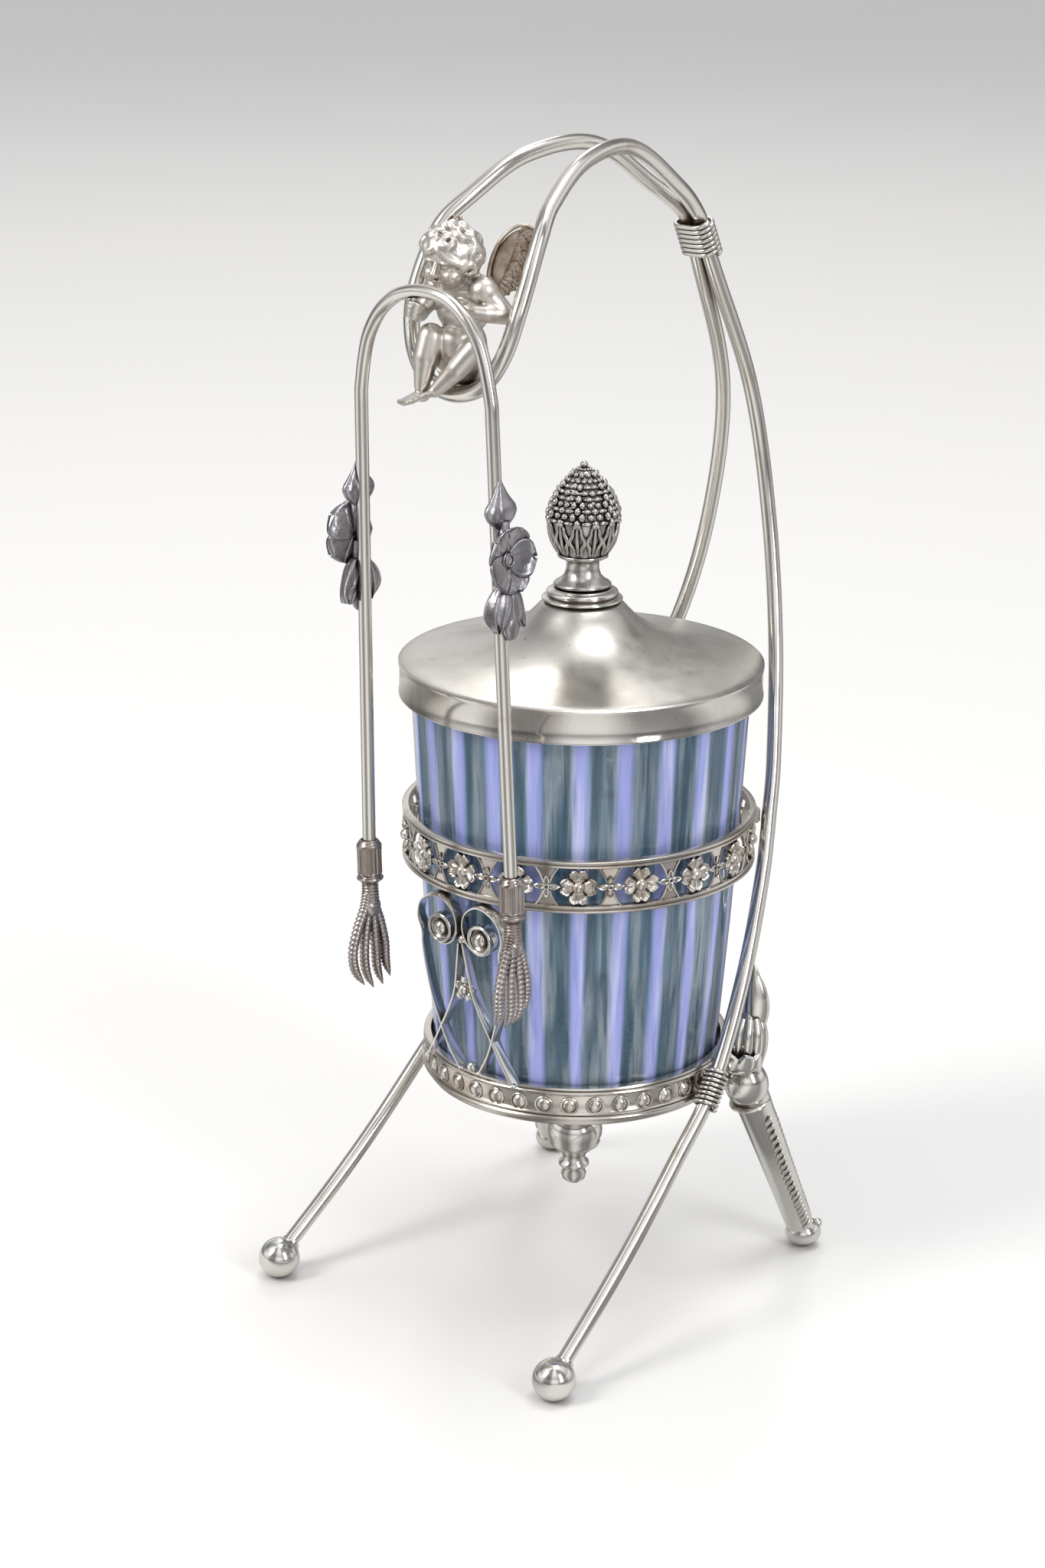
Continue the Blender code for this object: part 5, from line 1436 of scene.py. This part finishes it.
def make_cherub():
    """A plump seated child on the handle, holding out a fist for the tongs."""
    c = cherub_height
    bm = bmesh.new()
    # Belly, back, chest, shoulders, hips, seat, shoulder balls and breast, in heights of the figure
    for place, size in (
        ((0.0, 0.03, 0.25), (0.150, 0.130, 0.15)), ((0.0, -0.035, 0.26), (0.115, 0.085, 0.115)),
        ((0.0, 0.035, 0.44), (0.175, 0.115, 0.14)), ((0.0, 0.03, 0.545), (0.185, 0.095, 0.075)),
        ((0.0, 0.05, 0.12), (0.165, 0.130, 0.11)), ((0.075, 0.075, 0.09), (0.10, 0.105, 0.09)),
        ((-0.075, 0.075, 0.09), (0.10, 0.105, 0.09)), ((-0.155, 0.0, 0.560), (0.076, 0.074, 0.074)),
        ((0.168, 0.02, 0.565), (0.088, 0.084, 0.080)), ((-0.06, -0.055, 0.47), (0.06, 0.03, 0.05)),
        ((0.06, -0.055, 0.47), (0.06, 0.03, 0.05)),
    ):
        ellipsoid(bm, body_place(place), [s * c for s in size], None, 28, 18)
    # Arms, legs, neck and shoulder: start, end, and the radius at both
    for start, end, thick, thin in (
        ((-0.15, 0.0, 0.545), (-0.235, -0.07, 0.41), 0.064, 0.050),
        ((-0.235, -0.07, 0.41), (-0.16, -0.165, 0.43), 0.055, 0.050),
        ((-0.16, -0.165, 0.43), (-0.06, -0.262, 0.470), 0.050, 0.036),
        ((0.172, 0.02, 0.560), (0.26, 0.09, 0.44), 0.074, 0.060),
        ((0.26, 0.09, 0.44), (0.225, -0.01, 0.450), 0.060, 0.054),
        ((0.225, -0.01, 0.445), (0.19, -0.13, 0.475), 0.050, 0.036),
        ((-0.07, 0.02, 0.13), (-0.09, -0.13, 0.30), 0.092, 0.076),
        ((-0.09, -0.13, 0.30), (-0.097, -0.165, 0.18), 0.078, 0.076),
        ((-0.097, -0.165, 0.18), (-0.108, -0.185, 0.03), 0.072, 0.046),
        ((0.08, 0.02, 0.13), (0.175, -0.06, 0.25), 0.092, 0.076),
        ((0.175, -0.06, 0.25), (0.10, -0.12, 0.14), 0.076, 0.066),
        ((0.10, -0.12, 0.14), (-0.005, -0.18, 0.02), 0.064, 0.040),
        ((0.0, 0.01, 0.58), (0.0, -0.03, 0.66), 0.072, 0.064),
        ((0.02, 0.03, 0.62), (0.15, 0.03, 0.585), 0.060, 0.062),
    ):
        capsule(bm, body_place(start), body_place(end), c * thick, c * thin, 20)
    for heel, toe, size, sole in (
        ((-0.108, -0.180, -0.020), (-0.150, -0.280, -0.052), 0.056, (0, -0.30, -1)),
        ((-0.012, -0.185, 0.005), (-0.052, -0.262, -0.020), 0.039, (0.3, -0.35, -1)),
    ):
        foot(bm, body_place(heel), body_place(toe), c * size, Vector(sole))
    radius = c * 0.058
    right_fist = Vector((-c * 0.054, -tong_drop, tongs_top - tong_wire - fit_gap - radius))
    capsule(bm, body_place((-0.06, -0.262, 0.470)), right_fist, c * 0.036, c * 0.038, 16)
    fist(bm, right_fist, radius * 0.98, Vector((0.1, 0.1, 1)), Vector((-0.2, -1, 0)))
    fist(bm, body_place((0.185, -0.15, 0.478)), radius * 0.92, Vector((0.1, -0.1, 1)), Vector((-0.35, -1, 0)))
    head_centre = body_place((-0.016, -0.060, 0.727))
    head_size = c * 0.174
    look = Vector((0.05, -1.0, -0.22)).normalized()

    # The face is smoothed least, then the hands, then the hair; the body gets all of it
    def keep(point):
        offset = (point - head_centre) / head_size
        if offset.length < 1.15 and offset.dot(look) > 0.42 and offset.z < 0.42:
            return 0.15
        if point.z > head_centre.z - head_size * 0.6:
            return 0.90
        return 0.6 if point.y < -0.0545 and point.z > cherub_seat.z + c * 0.35 else 1.0

    cherub_head(bm, head_centre, head_size, look, Vector((0.10, 0.08, 1)))
    ellipsoid(bm, body_place((0.0, 0.05, 0.0)), (c * 0.14, c * 0.10, c * 0.05), None, 24, 14)
    skin = remeshed("cherub_skin", bm, 0.00026, 7, keep)
    piece("seated_cherub", skin, cherub_metal, "frame", ["cherub"], sharp=0)
    make_wings()


def make_wings():
    """Two feathered wings, cupped towards the front, with a bright rounded leading edge."""
    for name, way in (("left", -1), ("right", 1)):
        root = body_place((way * 0.12, 0.185, 0.52))
        tip = body_place((way * 0.255, 0.30, 0.88))
        face = Vector((way * 0.593, -0.795, -0.124)).normalized()
        lead = (tip - root).normalized()
        across = lead.cross(face).normalized() * way
        centre = (root + tip) / 2
        half = (tip - root).length * 0.55
        wide = cherub_height * 0.125
        bm = bmesh.new()

        def edge(turn, share=1.0):
            # On the outline, turn 0 is the tip, a quarter the trailing side, minus a quarter the leading one
            narrow = between(0.72, 1.0, (1 + math.cos(turn)) / 2)
            out = wide * share * (1.12 if math.sin(turn) > 0 else 1.10) * narrow
            return centre + lead * (half * share * math.cos(turn)) + across * (out * math.sin(turn))

        # Three rows of feathers, the longest first: count, end and start on the outline, lift, width, ribs
        for count, end_share, start_share, lift, half_feather, ribs in (
            (11, 0.98, 0.50, 0.0, 1.6 * mm, 3), (9, 0.66, 0.42, 0.28 * mm, 1.4 * mm, 2),
            (8, 0.38, 0.34, 0.52 * mm, 1.2 * mm, 1),
        ):
            for i in range(count):
                share = i / (count - 1)
                end = edge(between(2.75, 0.10, share), end_share)
                start = end.lerp(edge(between(-2.55, -0.75, share), start_share * 1.4), 0.62)
                shift = face * (lift + 0.08 * mm * (i % 2))
                blade(
                    bm, start + shift, end + shift, face, half_feather, 0.42 * mm, ribs,
                    widest=0.62, cup=0.14, point=0.75,
                )
        ridge_turns = (-2.9, -2.5, -2.1, -1.7, -1.3, -0.9, -0.5, -0.15, 0.15)
        ridge = [edge(turn) + face * 0.4 * mm for turn in ridge_turns]
        sweep(bm, smooth_path(ridge, 6), 0.52 * mm, 12, taper=lambda s: 1.2 - 0.6 * s)
        backing = Matrix((across, lead, face)).transposed()
        middle = centre - face * 0.2 * mm + lead * half * 0.05
        ellipsoid(bm, middle, (wide * 0.88, half * 0.84, 0.45 * mm), backing, 32, 12)
        node = "cherub_wing_" + name
        piece("feathered_wing_" + name, bm, wing_metal, "frame", [node], sharp=50)


# Tongs

sleeve_radius = 3.1 * mm
sleeve_length = 10.7 * mm
# Along a toe, from the wrist to the hooked tip: shares of the claw's spread out and across, and of its length
toe_key_shares = (
    (0.0, 0.16, -0.12), (0.0, 0.34, 0.02), (0.05, 0.74, 0.22), (0.08, 1.04, 0.45), (0.02, 1.0, 0.64),
    (-0.30, 0.84, 0.78),
)


def make_tongs():
    """One bent wire in two halves that blend at the shoulder, each with an ornament, a sleeve and a claw."""
    half_width = 20.2 * mm
    spread_wide = 2.8 * mm
    arm_length = 116.0 * mm
    lean = math.radians(2.1)
    apex = Vector((0, -tong_drop, tongs_top))
    matrix = Matrix.Translation(apex) @ Matrix.Rotation(-lean, 4, "Y") @ Matrix.Translation(-apex)
    shoulder = tongs_top - 24.1 * mm
    bottom = shoulder - arm_length
    bow_shares = (
        (0.0, 1.0), (0.20, 0.985), (0.41, 0.93), (0.645, 0.785), (0.81, 0.595), (0.887, 0.445),
        (0.955, 0.215), (1.0, 0.0),
    )
    for name, way in (("left", -1), ("right", 1)):
        def spread(height):
            return way * (half_width + spread_wide * (shoulder - height) / arm_length)

        keys = []
        for out, up in bow_shares:
            keys.append(Vector((way * half_width * out, -tong_drop, between(shoulder, tongs_top, up))))
        # A key beyond the top gives the bow a level start there
        path = smooth_path([Vector((-keys[1].x, keys[1].y, keys[1].z))] + keys, 8)[8:]
        count = 40
        for i in range(1, count + 1):
            height = between(shoulder, bottom, i / count)
            path.append(Vector((spread(height), -tong_drop, height)))
        bm = bmesh.new()
        sweep(bm, [matrix @ p for p in path], tong_wire, 20)
        made = piece("tongs_wire_" + name, bm, wire, None, [], sharp=60)
        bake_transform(made)
        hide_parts(*(["tong_bow", "tong_arm_left"] if way < 0 else ["tong_arm_right"]))
        make_ornament(name, way, spread, shoulder, matrix)
        make_sleeve(name, spread, bottom, matrix)
        make_claw(name, way, spread, bottom, matrix)


def cupped_petal(bm, centre, way, out, length, half_width, thickness):
    """One broad petal: veined, cupped, and turned up at its edge."""
    across = way.cross(out).normalized()
    rows = 14
    columns = 14
    sides = []
    for side in (1, -1):
        rings = []
        for i in range(rows + 1):
            t = i / rows
            rise = 0.30 + 0.70 * math.sin(math.pi / 2 * min(1, t * 1.6))
            fall = math.cos(math.pi / 2 * max(0, (t - 0.55) / 0.45) ** 2.2)
            wide = half_width * rise * (fall * 0.94 + 0.06)
            row = []
            for j in range(columns + 1):
                u = j / columns * 2 - 1
                vein = 0.07 * math.cos(5 * math.pi * u) * math.sin(math.pi * t)
                lift = thickness * (0.9 * t * t + 0.55 * u * u * t - vein + side * 0.24)
                row.append(bm.verts.new(centre + way * (length * t) + across * (wide * u) + out * lift))
            rings.append(row)
        grid_faces(bm, rings, closed_round=False)
        sides.append(rings)
    join_edges(bm, sides)


def make_ornament(name, way, spread, shoulder, matrix):
    """A dull casting on the outer face of the arm: a pointed bud, a five-petalled flower, two leaves."""
    size = 8.0 * mm
    out = Vector((way, 0, 0))
    face = tong_wire + 0.3 * mm

    def place(down, side=0.0, lift=0.0):
        height = shoulder - down
        return Vector((spread(height) + way * (face + lift), -tong_drop + side, height))

    bm = bmesh.new()
    flower = place(size * 4.3, 0, 0.2 * mm)
    for i in range(5):
        angle = full_turn * i / 5 + 0.35
        petal_way = Vector((0, math.sin(angle) * 0.88, math.cos(angle))).normalized()
        length = size * (0.97 if abs(math.cos(angle)) > 0.5 else 0.9)
        root = flower + out * (0.4 * mm + 0.3 * mm * (i % 2))
        cupped_petal(bm, root, petal_way, out, length, size * 0.56, 1.7 * mm)
    eye = flower + out * 1.1 * mm
    ellipsoid(bm, eye, (size * 0.24, size * 0.24, 0.5 * mm), aim(out), 20, 10)
    ring = circle(eye + out * 0.5 * mm, upward * size * 0.17, Vector((0, size * 0.17, 0)), 16)
    sweep(bm, ring, 0.28 * mm, 8)
    bud_foot = place(size * 3.60, 0, -0.6 * mm)
    bud = bmesh.new()
    tall = size * 1.58
    onion = (
        (0.0, 0.0), (0.26, 0.01), (0.34, 0.06), (0.30, 0.11), (0.52, 0.17), (0.84, 0.28), (1.0, 0.41),
        (0.92, 0.52), (0.66, 0.63), (0.44, 0.74), (0.27, 0.85), (0.13, 0.95), (0.0, 1.0),
    )
    onion = [(size * 0.64 * r, tall * h) for r, h in onion]

    def folds(r, h, angle):
        return -r * 0.16 * (1 - abs(math.sin(1.5 * angle + 0.75))) ** 2.5 * min(1, 4 * h / tall)

    lathe(bud, rounded(onion, 0.28, 3), 60, folds)
    place_on(bud, bud_foot, Matrix.Diagonal((0.42, 1, 1)))
    add_bmesh(bm, bud)
    sweep(bm, [place(size * 3.2, 0, 0.4 * mm), place(size * 4.2, 0, 0.3 * mm)], 1.3 * mm, 14)
    sweep(bm, [place(size * 4.5, 0, 0.3 * mm), place(size * 5.7, 0, 0.4 * mm)], 1.4 * mm, 14)
    ellipsoid(bm, place(size * 5.18, 0, 0.8 * mm), (1.3 * mm, size * 0.30, 1.6 * mm), None, 20, 12)
    for side in (-1, 1):
        root = place(size * 5.05, side * size * 0.10, 0.6 * mm)
        tip = place(size * 6.35, side * size * 0.50, 0.5 * mm)
        leaf_out = (out + Vector((0, side * 0.30, 0))).normalized()
        turn = aim(tip - root, leaf_out)
        ellipsoid(bm, root.lerp(tip, 0.42), (size * 0.24, size * 0.34, size * 0.62), turn, 24, 16)
        blade(bm, root, tip, leaf_out, size * 0.50, 3.0 * mm, 3, widest=0.55, cup=-0.20, point=1.3)
        rib = []
        for t in (0, 0.25, 0.5, 0.75, 0.92):
            rib.append(root.lerp(tip, t) + leaf_out * (1.0 * mm * math.sin(math.pi * (0.15 + 0.75 * t))))
        sweep(bm, rib, 0.4 * mm, 8)
    last = place(size * 6.25, size * 0.10, 0.6 * mm)
    ellipsoid(bm, last, (size * 0.20, size * 0.30, size * 0.42), None, 20, 14)
    bmesh.ops.transform(bm, matrix=matrix, verts=bm.verts)
    node = "tong_ornament_" + name
    piece("cast_ornament_" + name, bm, pewter, "tong_" + name, [node], sharp=0)


def make_sleeve(name, spread, bottom, matrix):
    """A fluted ferrule over the end of the arm, with a ring below."""
    bore = tong_wire + 0.3 * mm
    top = bottom + sleeve_length * 0.55
    end = bottom - 0.3 * mm
    outside = (
        (0.62, 0.0), (0.72, 0.01), (0.80, 0.035), (0.86, 0.07), (0.98, 0.115), (1.0, 0.15), (0.985, 0.20),
        (0.97, 0.35), (0.965, 0.55), (0.97, 0.72), (0.98, 0.79), (0.94, 0.82), (0.86, 0.84), (0.90, 0.865),
        (1.03, 0.885), (1.06, 0.91), (1.03, 0.94), (0.92, 0.96), (0.84, 0.975), (0.78, 1.0),
    )
    fine = []
    for (r1, s1), (r2, s2) in zip(outside, outside[1:]):
        for j in range(3):
            fine.append((between(r1, r2, j / 3), between(s1, s2, j / 3)))
    fine.append(outside[-1])
    profile = [(0, end), (bore, end), (bore, top)]
    profile += [(max(sleeve_radius * out, bore + 0.1 * mm), top - sleeve_length * down) for out, down in fine]
    profile.append((0, top - sleeve_length))

    def flutes(r, height, angle):
        down = (top - height) / sleeve_length
        if r < bore + 0.05 * mm or not 0.14 < down < 0.80:
            return 0.0
        fade = min(1, (down - 0.14) / 0.05, (0.80 - down) / 0.04)
        return -sleeve_radius * 0.085 * fade * (0.5 - 0.5 * math.cos(angle * 18)) ** 0.7

    bm = bmesh.new()
    lathe(bm, profile, 144, flutes)
    shift = Matrix.Translation((spread(bottom), -tong_drop, 0))
    bmesh.ops.transform(bm, matrix=matrix @ shift, verts=bm.verts)
    node = "tong_sleeve_" + name
    piece("fluted_sleeve_" + name, bm, claw_metal, "tong_" + name, [node], sharp=0)


def make_claw(name, way, spread, bottom, matrix):
    """A scaly wrist, then ringed toes that hook towards the other arm."""
    length = 26.2 * mm
    claw_spread = 5.8 * mm
    toe = 1.22 * mm
    top = bottom - sleeve_length * 0.45 - 0.3 * mm
    centre = Vector((spread(top), -tong_drop, top))
    wrist = centre - upward * length * 0.22
    bm = bmesh.new()
    low_wrist = wrist - upward * length * 0.02
    path = [centre.lerp(low_wrist, i / 60) for i in range(61)]

    def scales(share, angle):
        wave = math.sin(full_turn * 8 * share)
        return 1 + 0.075 * wave + 0.03 * math.cos(angle * 9) * wave

    wide = sleeve_radius * 0.62
    sweep(bm, path, wide, 36, scales, up=Vector((0, 1, 0)), taper=lambda s: 1 + 0.12 * s**1.6)
    ellipsoid(bm, low_wrist, (sleeve_radius * 0.70, sleeve_radius * 0.90, sleeve_radius * 0.9), None, 28, 16)
    for toe_side in (-1.0, -0.36, 0.36, 1.0):
        keys = []
        side_reach = claw_spread * toe_side * (0.72 if toe_side > 0 else 1.02)
        for out, across, down in toe_key_shares:
            out -= 0.10 * max(0, toe_side) * min(1, down * 3)
            down *= 1.02 if abs(toe_side) < 0.5 else 0.94
            keys.append(wrist + Vector((way * claw_spread * out, side_reach * across, -length * down)))
        toe_path = smooth_path(keys, 50)
        rings = 24

        def beads(share, angle):
            if share > 0.92:
                return 1.0
            outer = max(0.0, math.cos(angle)) ** 0.4
            return 0.82 + (0.16 + 0.20 * outer) * abs(math.sin(math.pi * rings * share)) ** 0.8

        def taper(share):
            if share > 0.80:
                return 0.82 * math.cos(math.pi / 2 * min(1.0, (share - 0.80) / 0.205)) + 0.04
            return between(1.06, 0.86, share**1.5)

        sweep(bm, toe_path, toe, 24, beads, up=Vector((way, 0, 0)), taper=taper)
    bmesh.ops.transform(bm, matrix=matrix, verts=bm.verts)
    node = "tong_claw_" + name
    piece("ringed_claw_" + name, bm, claw_metal, "tong_" + name, [node], sharp=0)


make_camera()
make_floor()
make_world()
make_lamps()
make_jar()
make_lid()
make_tray()
make_band()
make_wire_frame()
make_rear_legs()
make_scroll()
make_cherub()
make_tongs()
for node in ("tray_screw", "finial_stud", "finial_nut"):
    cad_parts[node].data.materials.clear()
    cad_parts[node].data.materials.append(steel)
